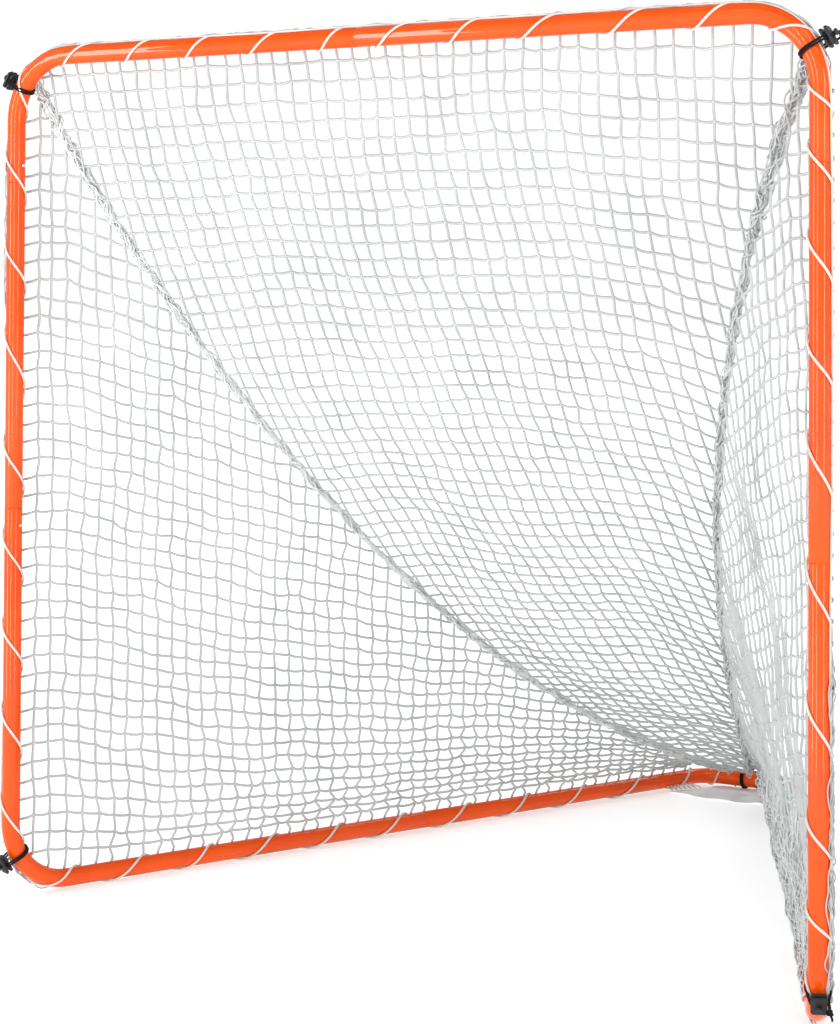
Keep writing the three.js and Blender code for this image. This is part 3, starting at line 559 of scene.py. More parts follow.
@dataclass(frozen=True)
class MouldedPlastic(Finish):
    """Black moulded plastic with a fine grain and rubbed, greyer patches."""

    colour: tuple[float, float, float] = (0.010, 0.012, 0.012)
    worn: tuple[float, float, float] = (0.035, 0.037, 0.036)

    def dress(self, nodes: Nodes) -> None:
        """Grains the plastic and greys it in patches.

        Args:
            nodes: The material's node tree.
        """
        place = nodes.add("TexCoord").outputs["Object"]
        patches = nodes.add("TexNoise", Vector=place, Scale=60.0, Detail=5.0)
        grain = nodes.add("TexVoronoi", Vector=place, Scale=2600.0)
        nodes.set(
            Base_Color=nodes.ramp(patches.outputs["Fac"], [(0.45, self.colour), (0.75, self.worn)]),
            Roughness=0.42,
            Specular_IOR_Level=0.22,
        )
        nodes.bump(grain.outputs["Distance"], 0.25, 0.0001)


@dataclass(frozen=True)
class BraidedCord(Finish):
    """A braided or twisted cord whose lay follows the piece's own length."""

    colour: tuple[float, float, float] = (0.80, 0.81, 0.79)
    # The darker colour: painted shade in the grooves between strands, and grime in patches.
    shade_and_grime: tuple[float, float, float] = (0.62, 0.63, 0.60)
    lay: float = 0.004
    strands: float = 3.0
    relief: float = 0.0006
    crossed: bool = True
    sheen: float = 0.2
    gloss: float = 0.5

    def dress(self, nodes: Nodes) -> None:
        """Makes the lay of waves along and round the cord, paints shade into the grooves between its strands,
        and soils it in patches.

        Args:
            nodes: The material's node tree.
        """
        spot = nodes.add("TexCoord")
        split = nodes.add("SeparateXYZ", Vector=spot.outputs["UV"])
        around = nodes.math("MULTIPLY", split.outputs["X"], self.strands * 2 * math.pi)
        along = nodes.math("MULTIPLY", split.outputs["Y"], 2 * math.pi / self.lay)
        ways = ("ADD", "SUBTRACT") if self.crossed else ("ADD",)
        waves = [nodes.math("SINE", nodes.math(way, around, along)) for way in ways]
        height = nodes.math("MAXIMUM", *waves) if self.crossed else waves[0]
        shade = nodes.add("MapRange", Value=height, From_Min=-1.0, From_Max=1.0, To_Min=0.0, To_Max=0.35)
        grime = nodes.add("TexNoise", Vector=spot.outputs["Object"], Scale=9.0, Detail=5.0)
        both = nodes.math("ADD", shade.outputs[0], grime.outputs["Fac"])
        # Base colour: painted shade where the lay's grooves sink, grime where the noise is low.
        nodes.set(
            Base_Color=nodes.ramp(both, [(0.35, self.shade_and_grime), (0.75, self.colour)]),
            Roughness=0.85,
            Sheen_Weight=self.sheen,
            Sheen_Roughness=0.5,
            Specular_IOR_Level=self.gloss,
        )
        nodes.bump(height, 0.7, self.relief)


@dataclass(frozen=True)
class WovenCloth(Finish):
    """Plain white cloth with its weave and soft creases."""

    colour: tuple[float, float, float] = (0.93, 0.94, 0.94)
    # The darker colour, painted as shade in the crease hollows.
    shade_and_grime: tuple[float, float, float] = (0.80, 0.82, 0.82)
    thread: float = 1400.0

    def dress(self, nodes: Nodes) -> None:
        """Crosses two fine waves for the weave over broad creases, and darkens the colour in the crease
        hollows as painted shade.

        Args:
            nodes: The material's node tree.
        """
        place = nodes.add("TexCoord").outputs["Object"]
        warp = nodes.add("TexWave", Vector=place, Scale=self.thread, bands_direction="X")
        weft = nodes.add("TexWave", Vector=place, Scale=self.thread, bands_direction="Y")
        weave = nodes.math("ADD", warp.outputs["Fac"], weft.outputs["Fac"])
        crease = nodes.add("TexNoise", Vector=place, Scale=14.0, Detail=4.0)
        # Painted shade: the colour darkens where the crease relief sinks.
        crease_shade = nodes.ramp(crease.outputs["Fac"], [(0.3, self.shade_and_grime), (0.65, self.colour)])
        nodes.set(Base_Color=crease_shade, Roughness=0.9, Sheen_Weight=0.25)
        nodes.bump(nodes.math("ADD", weave, crease.outputs["Fac"]), 0.3, 0.0006)


@dataclass(frozen=True)
class StudioFloor(Finish):
    """A plain pale floor."""

    colour: tuple[float, float, float] = (0.90, 0.90, 0.90)
    paler: tuple[float, float, float] = (0.92, 0.92, 0.92)
    glow: float = 0.40
    glow_reach: tuple[float, float] = (1.0, 7.0)

    def dress(self, nodes: Nodes) -> None:
        """Mottles the floor a little and brightens it far away, as a lit studio sweep.

        Args:
            nodes: The material's node tree.
        """
        place = nodes.add("TexCoord").outputs["Object"]
        mottle = nodes.add("TexNoise", Vector=place, Scale=3.0, Detail=4.0)
        far = nodes.add("VectorMath", operation="LENGTH", Vector=place)
        glow = nodes.add(
            "MapRange",
            interpolation_type="SMOOTHSTEP",
            Value=far.outputs["Value"],
            From_Min=self.glow_reach[0],
            From_Max=self.glow_reach[1],
            To_Min=self.glow,
        )
        nodes.set(
            Base_Color=nodes.ramp(mottle.outputs["Fac"], [(0.3, self.colour), (0.7, self.paler)]),
            Roughness=0.7,
            Specular_IOR_Level=0.1,
            Emission_Color=(1.0, 1.0, 1.0, 1.0),
            Emission_Strength=glow.outputs["Result"],
        )


ORANGE = PowderCoat("orange_powder_coat", "orange_steel")
STEEL = PlatedSteel("zinc_plate", "bright_steel")
SPRING_WIRE = PlatedSteel(
    "black_spring_wire", "black_steel", colour=(0.03, 0.03, 0.03), roughness=(0.35, 0.5)
)
PLASTIC = MouldedPlastic("black_plastic", "black_plastic")
ELASTIC = BraidedCord(
    "black_shock_cord",
    "black_elastic",
    colour=(0.012, 0.009, 0.011),
    shade_and_grime=(0.005, 0.004, 0.005),
    lay=0.005,
    sheen=0.0,
    gloss=0.15,
)
LACE = BraidedCord("white_lacing_cord", "white_cord", colour=(0.68, 0.64, 0.58), shade_and_grime=(0.50, 0.46, 0.41))
# The same white twine in three copies of different brightness: this one is darkened to grey as painted shade.
SHADED_TWINE = BraidedCord(
    "net_twine_painted_shade",
    "white_net",
    colour=(0.50, 0.52, 0.515),
    shade_and_grime=(0.33, 0.35, 0.35),
    lay=0.0045,
    strands=2.0,
    relief=0.0005,
    crossed=False,
)
# A lighter copy of the same white twine, painted light for the right ridge band and the fold.
HALF_LIT_TWINE = BraidedCord(
    "gathered_twine_painted_light", "white_net", colour=(0.63, 0.655, 0.65), shade_and_grime=(0.38, 0.41, 0.41), crossed=False
)
# The lightest copy of the same twine, painted light to offset the shadowing inside the dense left ridge band.
RIDGE_LIT_TWINE = BraidedCord(
    "ridge_twine_painted_light", "white_net", colour=(0.84, 0.86, 0.855), shade_and_grime=(0.56, 0.59, 0.59), crossed=False
)
CLOTH = WovenCloth("white_gusset_cloth", "white_cloth")
FLOOR = StudioFloor("studio_floor", "")


@dataclass(frozen=True)
class Bend:
    """One round bend of the ring."""

    start: float
    end: float
    trim: float
    centre: Points
    inward: Points
    coming: Points


class TubeRing:
    """The frame's centre line: one closed ring of straights and round bends."""

    step = 0.004

    def __init__(self, sizes: GoalSizes) -> None:
        """Lays the ring out from the middle of the rear tube, by way of the left base.

        Args:
            sizes: The frame's driving sizes.
        """
        self.sizes = sizes
        half, rear = sizes.half_spacing, sizes.rear_width / 2
        low, high, depth = sizes.base_height, sizes.crossbar_height, sizes.frame_depth
        self.corners = {
            Corner.REAR_LEFT: np.array([-rear, depth, low]),
            Corner.BOTTOM_LEFT: np.array([-half, 0.0, low]),
            Corner.TOP_LEFT: np.array([-half, 0.0, high]),
            Corner.TOP_RIGHT: np.array([half, 0.0, high]),
            Corner.BOTTOM_RIGHT: np.array([half, 0.0, low]),
            Corner.REAR_RIGHT: np.array([rear, depth, low]),
        }
        self.bends: dict[Corner, Bend] = {}
        self._pieces: list[tuple[float, float, Callable[[float], tuple[Points, Points]]]] = []
        self.length = 0.0
        start = np.array([0.0, depth, low])
        here = start
        names = list(Corner)
        for i, name in enumerate(names):
            at = self.corners[name]
            ahead = self.corners[names[i + 1]] if i + 1 < len(names) else start
            coming, going = unit(at - here), unit(ahead - at)
            turn = math.acos(float(np.dot(coming, going)))
            radius = sizes.rear_bend if name in (Corner.REAR_LEFT, Corner.REAR_RIGHT) else sizes.front_bend
            trim = radius * math.tan(turn / 2)
            inward = (going - coming * math.cos(turn)) / math.sin(turn)
            entry = at - coming * trim
            self._straight(here, coming, float(np.linalg.norm(entry - here)))
            centre = entry + inward * radius
            self.bends[name] = Bend(self.length, self.length + radius * turn, trim, centre, inward, coming)
            self._bend(centre, inward, coming, radius, turn)
            here = at + going * trim
        self._straight(here, unit(start - here), float(np.linalg.norm(start - here)))
        base = self.corners[Corner.REAR_LEFT] - self.corners[Corner.BOTTOM_LEFT]
        self.base_way = unit(base)
        self.base_length = float(np.linalg.norm(base))
        self._carry_frames()

    def _straight(self, start: Points, way: Points, length: float) -> None:
        """Adds a straight length."""
        self._pieces.append((self.length, length, lambda d: (start + way * d, way)))
        self.length += length

    def _bend(self, centre: Points, inward: Points, coming: Points, radius: float, turn: float) -> None:
        """Adds a round bend.

        Args:
            centre: The bend's centre.
            inward: From where it starts to its centre.
            coming: The direction of travel where it starts.
            radius: Its radius.
            turn: How far it turns.
        """

        def at(d: float) -> tuple[Points, Points]:
            """Returns the point and the direction of travel at a distance along the bend."""
            c, s = math.cos(d / radius), math.sin(d / radius)
            return centre - inward * radius * c + coming * radius * s, coming * c + inward * s

        self._pieces.append((self.length, radius * turn, at))
        self.length += radius * turn

    def at(self, station: float) -> tuple[Points, Points]:
        """Finds a place on the ring.

        Args:
            station: How far round the ring it is.

        Returns:
            The point and the direction of travel.
        """
        station %= self.length
        for start, length, place in self._pieces:
            if station <= start + length:
                return place(station - start)
        return self._pieces[-1][2](self._pieces[-1][1])

    def past(self, corner: Corner, distance: float) -> float:
        """Returns the station that lies a distance past a corner, or before it where that is negative."""
        bend = self.bends[corner]
        return bend.start + distance + bend.trim if distance < 0 else bend.end + distance - bend.trim

    def _carry_frames(self) -> None:
        """Carries one direction round the ring without twist, for the frames of pieces wound round it."""
        count = math.ceil(self.length / self.step)
        self._stations = np.linspace(0.0, self.length, count + 1)
        normal = UP
        normals = []
        for station in self._stations:
            _, tangent = self.at(station)
            normal = unit(normal - tangent * np.dot(normal, tangent))
            normals.append(normal)
        self._normals = np.array(normals)

    def frame_at(self, station: float) -> tuple[Points, Points, Points]:
        """Finds the ring's own frame at a place.

        Args:
            station: How far round the ring it is.

        Returns:
            The point, the carried direction, and the one square to it and to the tube.
        """
        point, tangent = self.at(station)
        wrapped = station % self.length
        carried = np.array([np.interp(wrapped, self._stations, self._normals[:, k]) for k in range(3)])
        carried = unit(carried - tangent * np.dot(carried, tangent))
        return point, carried, np.cross(tangent, carried)

    def stations(self, start: float, end: float, bend_step: float) -> list[float]:
        """Spaces stations between two, close together only in the bends.

        Args:
            start: The first station.
            end: The last, which may pass the ring's length.
            bend_step: The distance between stations in a bend.

        Returns:
            The stations in order, with both ends.
        """
        inner = []
        for lap in (0.0, self.length):
            for bend in self.bends.values():
                count = math.ceil((bend.end - bend.start) / bend_step)
                inner += [lap + bend.start + (bend.end - bend.start) * k / count for k in range(count + 1)]
        return [start, *sorted(s for s in inner if start + bend_step < s < end - bend_step), end]


@dataclass(frozen=True)
class Joint:
    """One snap joint: its seam's station, the way to the outer tube, and where its button faces."""

    name: str
    station: float
    towards: int
    facing: Points


@dataclass
class TubeFrame:
    """The nine lengths of tube and the snap joints between them."""

    ring: TubeRing
    low_seam_rise: float = 0.834
    high_seam_drop: float = 0.277
    crossbar_seam_offset: float = 0.045
    front_seam_reach: float = 1.142
    rear_seam_reach: float = 0.181
    seam_gap: float = 0.0006
    lip: float = 0.0006
    spigot_radius: float = 0.0181
    spigot_length: float = 0.080
    button_reach: float = 0.038
    hole_radius: float = 0.0043
    hole_sides: int = 24
    drill_shares: tuple[float, float] = (0.5, 1.3)
    crisp_angle: float = 35.0
    sides: int = 40
    bend_step: float = 0.008
    joints: list[Joint] = field(default_factory=list)

    tube_names = (
        "left_base_tube",
        "bottom_left_corner_tube",
        "left_post_tube",
        "top_left_corner_tube",
        "top_right_corner_tube",
        "right_post_tube",
        "bottom_right_corner_tube",
        "right_base_tube",
        "rear_base_tube",
    )

    def __post_init__(self) -> None:
        """Places the joints round the ring."""
        ring = self.ring
        outward = np.cross(UP, ring.base_way)
        other = outward * MIRROR
        length = ring.base_length
        half = ring.sizes.half_spacing
        self.joints = [
            Joint("rear_left", ring.past(Corner.REAR_LEFT, self.rear_seam_reach), -1, outward),
            Joint("front_left", ring.past(Corner.REAR_LEFT, length - self.front_seam_reach), 1, outward),
            Joint("low_left", ring.past(Corner.BOTTOM_LEFT, self.low_seam_rise), -1, RIGHTWARD),
            Joint("high_left", ring.past(Corner.TOP_LEFT, -self.high_seam_drop), 1, RIGHTWARD),
            Joint("crossbar", ring.past(Corner.TOP_LEFT, half - self.crossbar_seam_offset), 1, -UP),
            Joint("high_right", ring.past(Corner.TOP_RIGHT, self.high_seam_drop), -1, -RIGHTWARD),
            Joint("low_right", ring.past(Corner.BOTTOM_RIGHT, -self.low_seam_rise), 1, -RIGHTWARD),
            Joint("front_right", ring.past(Corner.BOTTOM_RIGHT, self.front_seam_reach), -1, other),
            Joint("rear_right", ring.past(Corner.BOTTOM_RIGHT, length - self.rear_seam_reach), 1, other),
        ]

    def button_frame(self, joint: Joint) -> tuple[Points, Points, Points]:
        """Returns a button's place on the tube's centre, its outward direction and the way along the tube."""
        point, tangent = self.ring.at(joint.station + joint.towards * self.button_reach)
        return point, joint.facing, tangent * joint.towards

    def _rings(self, outline: list[tuple[float, float]]) -> Points:
        """Turns a tube's outline round its centre line.

        Args:
            outline: Stations and radii.

        Returns:
            A row of points for each pair.
        """
        rows = []
        for station, radius in outline:
            point, carried, square = self.ring.frame_at(station)
            rows.append(point + radius * circle(self.sides, carried, square))
        return np.array(rows)

    def _neck(self, edge: float, way: int) -> list[tuple[float, float]]:
        """Draws the neck that goes into the next tube.

        Args:
            edge: The station of the tube's edge.
            way: The direction of the neck from there.

        Returns:
            Stations and radii, from the edge to the neck's end and back inside it.
        """
        sizes, lip, gap = self.ring.sizes, self.lip, self.seam_gap
        outer, neck, run = sizes.tube_radius, self.spigot_radius, self.spigot_length
        bore = neck - sizes.tube_wall
        outline = [(0.0, outer - lip), (gap / 2, outer - 2 * lip), (gap, neck), (run - 2 * lip, neck)]
        outline += [(run, neck - lip), (run, bore), (gap, bore)]
        return [(edge + way * reach, radius) for reach, radius in outline]

    def _wall(self, first: Joint, last: Joint) -> list[tuple[float, float]]:
        """Draws a tube's wall, outside from end to end and back inside.

        Args:
            first: The joint where it starts.
            last: The joint where it ends.

        Returns:
            Stations and radii.
        """
        ring, lip = self.ring, self.lip
        outer, bore = ring.sizes.tube_radius, ring.sizes.tube_radius - ring.sizes.tube_wall
        lap = ring.length if last.station < first.station else 0.0
        start = first.station + (self.seam_gap if first.towards > 0 else 0.0)
        end = last.station + lap - (self.seam_gap if last.towards < 0 else 0.0)
        run = ring.stations(start + 2 * lip, end - 2 * lip, self.bend_step)
        inside, *neck = reversed(self._neck(start, -1))
        outline = neck if first.towards < 0 else [(start, bore), (start, outer - lip)]
        rounded = outer - lip / 4
        outline += [(start + lip, rounded), *((s, outer) for s in run), (end - lip, rounded)]
        outline += self._neck(end, 1) if last.towards > 0 else [(end, outer - lip), (end, bore)]
        outline += [(s, bore) for s in reversed(run)]
        return [*outline, inside] if first.towards < 0 else outline

    def _drill(self, tube: bpy.types.Object, joint: Joint) -> None:
        """Cuts a joint's button hole through one tube's wall.

        Args:
            tube: The tube.
            joint: The joint.
        """
        point, facing, along = self.button_frame(joint)
        ring = self.hole_radius * circle(self.hole_sides, along, np.cross(facing, along))
        reach = self.ring.sizes.tube_radius
        rows = np.array([point + ring + facing * reach * share for share in self.drill_shares])
        combine(tube, stacked_solid(rows, "drill", ORANGE, self.ring.sizes.place), Combining.CUT)

    def build(self) -> list[bpy.types.Object]:
        """Makes the nine tubes with their necks, lips and button holes.

        Returns:
            The tubes.
        """
        tubes = []
        for i, name in enumerate(self.tube_names):
            first, last = self.joints[i], self.joints[(i + 1) % len(self.joints)]
            outline = self._wall(first, last)
            maker = MeshMaker()
            maker.grid(self._rings([*outline, outline[0]]), closed_across=True, flip=True)
            tube = maker.finish(f"{name}_finished", ORANGE, self.ring.sizes.place)
            weld(tube)
            for joint in (first, last):
                self._drill(tube, joint)
            tube.data.set_sharp_from_angle(angle=math.radians(self.crisp_angle))
            dress(tube, ROOT, ORANGE, name)
            tubes.append(tube)
        return tubes


def weld(piece: bpy.types.Object) -> None:
    """Joins the points of a piece that lie on each other and turns its faces outward.

    Args:
        piece: The piece.
    """
    nearest = 1e-6
    work = bmesh.new()
    work.from_mesh(piece.data)
    bmesh.ops.remove_doubles(work, verts=list(work.verts), dist=nearest)
    bmesh.ops.recalc_face_normals(work, faces=list(work.faces))
    work.to_mesh(piece.data)
    work.free()


def stacked_solid(
    rows: Points, name: str, finish: Finish, place: Iterable[float] = (0.0, 0.0, 0.0)
) -> bpy.types.Object:
    """Makes a closed piece of stacked outlines.

    Args:
        rows: The outlines, lowest first.
        name: The piece's name.
        finish: Its finish.
        place: What is added to every point.

    Returns:
        The piece.
    """
    maker = MeshMaker()
    maker.grid(rows, closed_across=True)
    corners = np.arange(rows.shape[1])[None]
    maker.add(rows[0], corners[:, ::-1])
    maker.add(rows[-1], corners)
    piece = maker.finish(name, finish, place)
    weld(piece)
    return piece


def apply_modifiers(piece: bpy.types.Object) -> None:
    """Replaces a piece's mesh by what its modifiers make of it.

    Args:
        piece: The piece.
    """
    graph = bpy.context.evaluated_depsgraph_get()
    made = bpy.data.meshes.new_from_object(piece.evaluated_get(graph))
    piece.modifiers.clear()
    piece.data = made


class Combining(Enum):
    """What a second solid does to the first."""

    JOIN = "UNION"
    CUT = "DIFFERENCE"


def combine(piece: bpy.types.Object, other: bpy.types.Object, way: Combining) -> None:
    """Joins a second solid to a piece or cuts it away, and uses it up.

    Args:
        piece: The piece.
        other: The second solid.
        way: What it does.
    """
    step = piece.modifiers.new(way.name.lower(), "BOOLEAN")
    step.operation = way.value
    step.solver = "EXACT"
    step.object = other
    apply_modifiers(piece)
    bpy.data.objects.remove(other)


def round_edges(piece: bpy.types.Object, width: float, angle: float) -> None:
    """Rounds a piece's edges.

    Args:
        piece: The piece.
        width: How wide the rounding is.
        angle: Edges sharper than this, in degrees, are rounded.
    """
    bevel = piece.modifiers.new("edges", "BEVEL")
    bevel.width = width
    bevel.segments = 2
    bevel.limit_method = "ANGLE"
    bevel.angle_limit = math.radians(angle)
    apply_modifiers(piece)


def dress(piece: bpy.types.Object, body: str, finish: Finish, *nodes: str) -> None:
    """Puts a piece on its body and hides the solids that it stands for.

    Args:
        piece: The piece.
        body: The body that it moves with.
        finish: Not used.
        *nodes: The solids.
    """
    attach(piece, body)
    if nodes:
        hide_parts(*nodes)


@dataclass
class SnapButtons:
    """The domed studs and the folded leaf springs that push them out of the tube."""

    tubes: TubeFrame
    stud_radius: float = 0.004
    proud: float = 0.004
    dome: float = 0.0016
    foot_radius: float = 0.0054
    foot_thickness: float = 0.0013
    foot_depth: float = 0.01505
    leaf_thickness: float = 0.0008
    leaf_width: float = 0.010
    leaf_gap: float = 0.0003
    leaf_front: float = 0.008
    leaf_back: float = 0.030
    leaf_fold: float = 0.005
    leaf_base: float = 0.0152
    travel: float = 0.0052
    sides: int = 28
    dome_steps: int = 8
    fold_steps: int = 12
    crisp_angle: float = 40.0

    def _stud(self, joint: Joint) -> bpy.types.Object:
        """Makes one stud with its foot.

        Args:
            joint: Its snap joint.

        Returns:
            The stud.
        """
        point, facing, along = self.tubes.button_frame(joint)
        top = self.tubes.ring.sizes.tube_radius + self.proud
        foot, radius = self.foot_depth - self.foot_thickness, self.stud_radius
        profile = [(0.0, foot), (self.foot_radius, foot)]
        profile += [(self.foot_radius, self.foot_depth), (radius, self.foot_depth)]
        for angle in np.linspace(0.0, math.pi / 2, self.dome_steps + 1):
            profile.append((radius * math.cos(angle), top - self.dome + self.dome * math.sin(angle)))
        maker = MeshMaker()
        rows = turned_rows(profile, self.sides, point, facing, along, np.cross(facing, along))
        maker.grid(rows, closed_across=True)
        return self._settle(maker, f"{joint.name}_button_stud")

    def _settle(self, maker: MeshMaker, name: str) -> bpy.types.Object:
        """Makes a steel piece with crisp edges.

        Args:
            maker: Its mesh.
            name: Its name.

        Returns:
            The piece.
        """
        piece = maker.finish(name, STEEL, self.tubes.ring.sizes.place)
        weld(piece)
        piece.data.set_sharp_from_angle(angle=math.radians(self.crisp_angle))
        return piece

    def _leaf(self, joint: Joint) -> bpy.types.Object:
        """Makes one leaf spring, folded in a V inside the tube.

        Args:
            joint: Its snap joint.

        Returns:
            The spring.
        """
        point, facing, along = self.tubes.button_frame(joint)
        square = np.cross(facing, along)
        high = self.foot_depth - self.foot_thickness - self.leaf_gap - self.leaf_thickness / 2
        low = -self.leaf_base + self.leaf_thickness / 2
        middle, bend = (high + low) / 2, self.leaf_fold - self.leaf_thickness / 2
        line = [(self.leaf_front, high), (-self.leaf_front, high)]
        line += [
            (-self.leaf_back + bend * math.cos(a), middle + bend * math.sin(a))
            for a in np.linspace(math.pi / 2, 3 * math.pi / 2, self.fold_steps + 1)
        ]
        line += [(-self.leaf_front, low), (self.leaf_front, low)]
        flat = spline(np.array([(x, z, 0.0) for x, z in line]), 2)[:, :2]
        tangent = unit(np.gradient(flat, axis=0))
        normal = np.stack([-tangent[:, 1], tangent[:, 0]], axis=1) * self.leaf_thickness / 2
        half = self.leaf_width / 2
        rows = []
        for (x, z), (nx, nz) in zip(flat, normal):
            corners = [(x + nx, z + nz, side) for side in (-half, half)]
            corners += [(x - nx, z - nz, side) for side in (half, -half)]
            rows.append([point + along * a + facing * b + square * c for a, b, c in corners])
        maker = MeshMaker()
        maker.grid(np.array(rows), closed_across=True)
        maker.add(np.array(rows[0]), np.array([[3, 2, 1, 0]]))
        maker.add(np.array(rows[-1]), np.array([[0, 1, 2, 3]]))
        leaf = self._settle(maker, f"{joint.name}_leaf_spring")
        dress(leaf, ROOT, STEEL, f"{joint.name}_button_spring")
        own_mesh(leaf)
        return leaf

    def build(self) -> list[bpy.types.Object]:
        """Makes a stud and a leaf for every joint.

        Returns:
            The studs and leaves.
        """
        pieces = []
        for joint in self.tubes.joints:
            stud = self._stud(joint)
            dress(stud, f"{joint.name}_button", STEEL, f"{joint.name}_snap_button")
            pieces += [stud, self._leaf(joint)]
        return pieces


def turned_rows(
    profile: list[tuple[float, float]], sides: int, point: Points, axis: Points, first: Points, second: Points
) -> Points:
    """Turns a profile round an axis."""
    ring = circle(sides, first, second)
    return np.array([point + axis * height + ring * radius for radius, height in profile])


@dataclass(frozen=True)
class LockPlace:
    """Where one cord lock stands: its body's name and its own frame."""

    name: str
    point: Points
    along: Points
    across: Points
    outward: Points

    def axes(self) -> Points:
        """Returns the lock's three directions, one to a row."""
        return np.stack([self.along, self.across, self.outward])

    def world(self, local: Points) -> Points:
        """Returns local places as places of the goal."""
        return self.point + local @ self.axes()


@dataclass
class CordLocks:
    """The five spool-shaped locks, their plungers, coil springs and elastic loops."""

    ring: TubeRing
    bend_angle: float = math.radians(30)
    standoff: float = 0.0115
    plate_length: float = 0.038
    plate_width: float = 0.030
    plate_corner: float = 0.006
    plate_thickness: float = 0.005
    waist_length: float = 0.024
    waist_width: float = 0.017
    waist_height: float = 0.0056
    notch_width: float = 0.0114
    notch_depth: float = 0.0055
    stem_length: float = 0.0164
    stem_width: float = 0.006
    clearance: float = 0.0003
    slot_width: float = 0.0112
    travel: float = 0.004
    stem_tie: float = 0.0024
    neck_radius: float = 0.0029
    neck_length: float = 0.0066
    head_radius: float = 0.0065
    head_thickness: float = 0.005
    coil_wire: float = 0.00045
    coil_radius: float = 0.0047
    coil_turns: float = 2.0
    elastic_radius: float = 0.00225
    elastic_gap: float = 0.0008
    elastic_spacing: float = 0.0054
    knot_out: float = 0.0184
    knot_rise: float = 0.009
    round_edge: float = 0.0009
    edge_share: float = 0.3
    corner_steps: int = 6
    head_sides: int = 36
    head_start: float = 0.3
    coil_steps: int = 63
    wind_steps: int = 12
    cord_sides: int = 14
    end_sides: int = 10
    crisp_angle: float = 30.0
    knot_share: float = 1.15
    knot_shape: tuple[float, float, float] = (0.75, 0.6, 0.8)
    tail: tuple[tuple[float, float, float], ...] = (
        (0.002, 0.0, 0.0),
        (0.005, 0.002, 0.003),
        (0.006, 0.004, 0.008),
        (0.008, 0.004, 0.012),
    )

    def __post_init__(self) -> None:
        """Works out the heights above the tube's centre."""
        self.inner_foot = self.ring.sizes.tube_radius + self.standoff
        self.waist_foot = self.inner_foot + self.plate_thickness
        self.outer_foot = self.waist_foot + self.waist_height
        self.top = self.outer_foot + self.plate_thickness
        self.slot_middle = self.waist_foot + self.waist_height / 2
        self.head_foot = self.top + self.neck_length

    def places(self) -> list[LockPlace]:
        """Finds the locks' places: one at each front bend and one behind the rear tube.

        Returns:
            Five places.
        """
        radius = self.ring.sizes.front_bend
        turns = {
            Corner.TOP_LEFT: self.bend_angle,
            Corner.TOP_RIGHT: math.pi / 2 - self.bend_angle,
            Corner.BOTTOM_LEFT: math.pi / 2 - self.bend_angle,
            Corner.BOTTOM_RIGHT: self.bend_angle,
        }
        found = []
        for corner, turn in turns.items():
            bend = self.ring.bends[corner]
            point, tangent = self.ring.at(bend.start + radius * turn)
            outward = unit(point - bend.centre)
            side = np.cross(outward, tangent)
            along = -tangent if side[1] < 0 else tangent
            found.append(self._place(corner.name.lower(), point, outward, along))
        rear, _ = self.ring.at(0.0)
        found.append(self._place("rear", rear, REARWARD, -RIGHTWARD))
        return found

    @staticmethod
    def _place(name: str, point: Points, outward: Points, along: Points) -> LockPlace:
        """Makes a place's directions square.

        Args:
            name: The body's name.
            point: The place on the tube's centre line.
            outward: The way out from the tube.
            along: The way along it.

        Returns:
            The place.
        """
        outward = unit(outward)
        across = unit(np.cross(outward, along))
        return LockPlace(name, point, np.cross(across, outward), across, outward)

    def _plate(self, length: float, width: float, corner: float, foot: float, height: float) -> Points:
        """Draws a plate with round corners and softened edges.

        Args:
            length: Its size along the lock.
            width: Its size across.
            corner: Its corners' radius.
            foot: Where it starts, above the tube's centre.
            height: How thick it is.

        Returns:
            Six outlines, lowest first.
        """
        outline = []
        for k, (sx, sy) in enumerate(((1, 1), (-1, 1), (-1, -1), (1, -1))):
            for a in np.linspace(0, math.pi / 2, self.corner_steps + 1):
                angle = a + k * math.pi / 2
                x = sx * (length / 2 - corner) + corner * math.cos(angle)
                outline.append((x, sy * (width / 2 - corner) + corner * math.sin(angle)))
        edge = self.round_edge
        soft = edge * self.edge_share
        levels = [(edge, 0.0), (soft, soft), (0.0, edge)]
        levels += [(inset, height - level) for inset, level in reversed(levels)]
        rows = []
        for inset, z in levels:
            slim, thin = 1 - 2 * inset / length, 1 - 2 * inset / width
            rows.append([(x * slim, y * thin, foot + z) for x, y in outline])
        return np.array(rows)

    def _block(
        self, length: float, width: float, foot: float, height: float, aside: float = 0.0
    ) -> bpy.types.Object:
        """Makes a plain cutter with square corners.

        Args:
            length: Its size along the lock.
            width: Its size across.
            foot: Where it starts, above the tube's centre.
            height: How high it is.
            aside: How far across its middle lies.

        Returns:
            The cutter.
        """
        x, y = length / 2, width / 2
        corners = [(x, y), (-x, y), (-x, -y), (x, -y)]
        rows = np.array([[(a, b + aside, z) for a, b in corners] for z in (foot, foot + height)])
        return stacked_solid(rows, "cutter", PLASTIC)

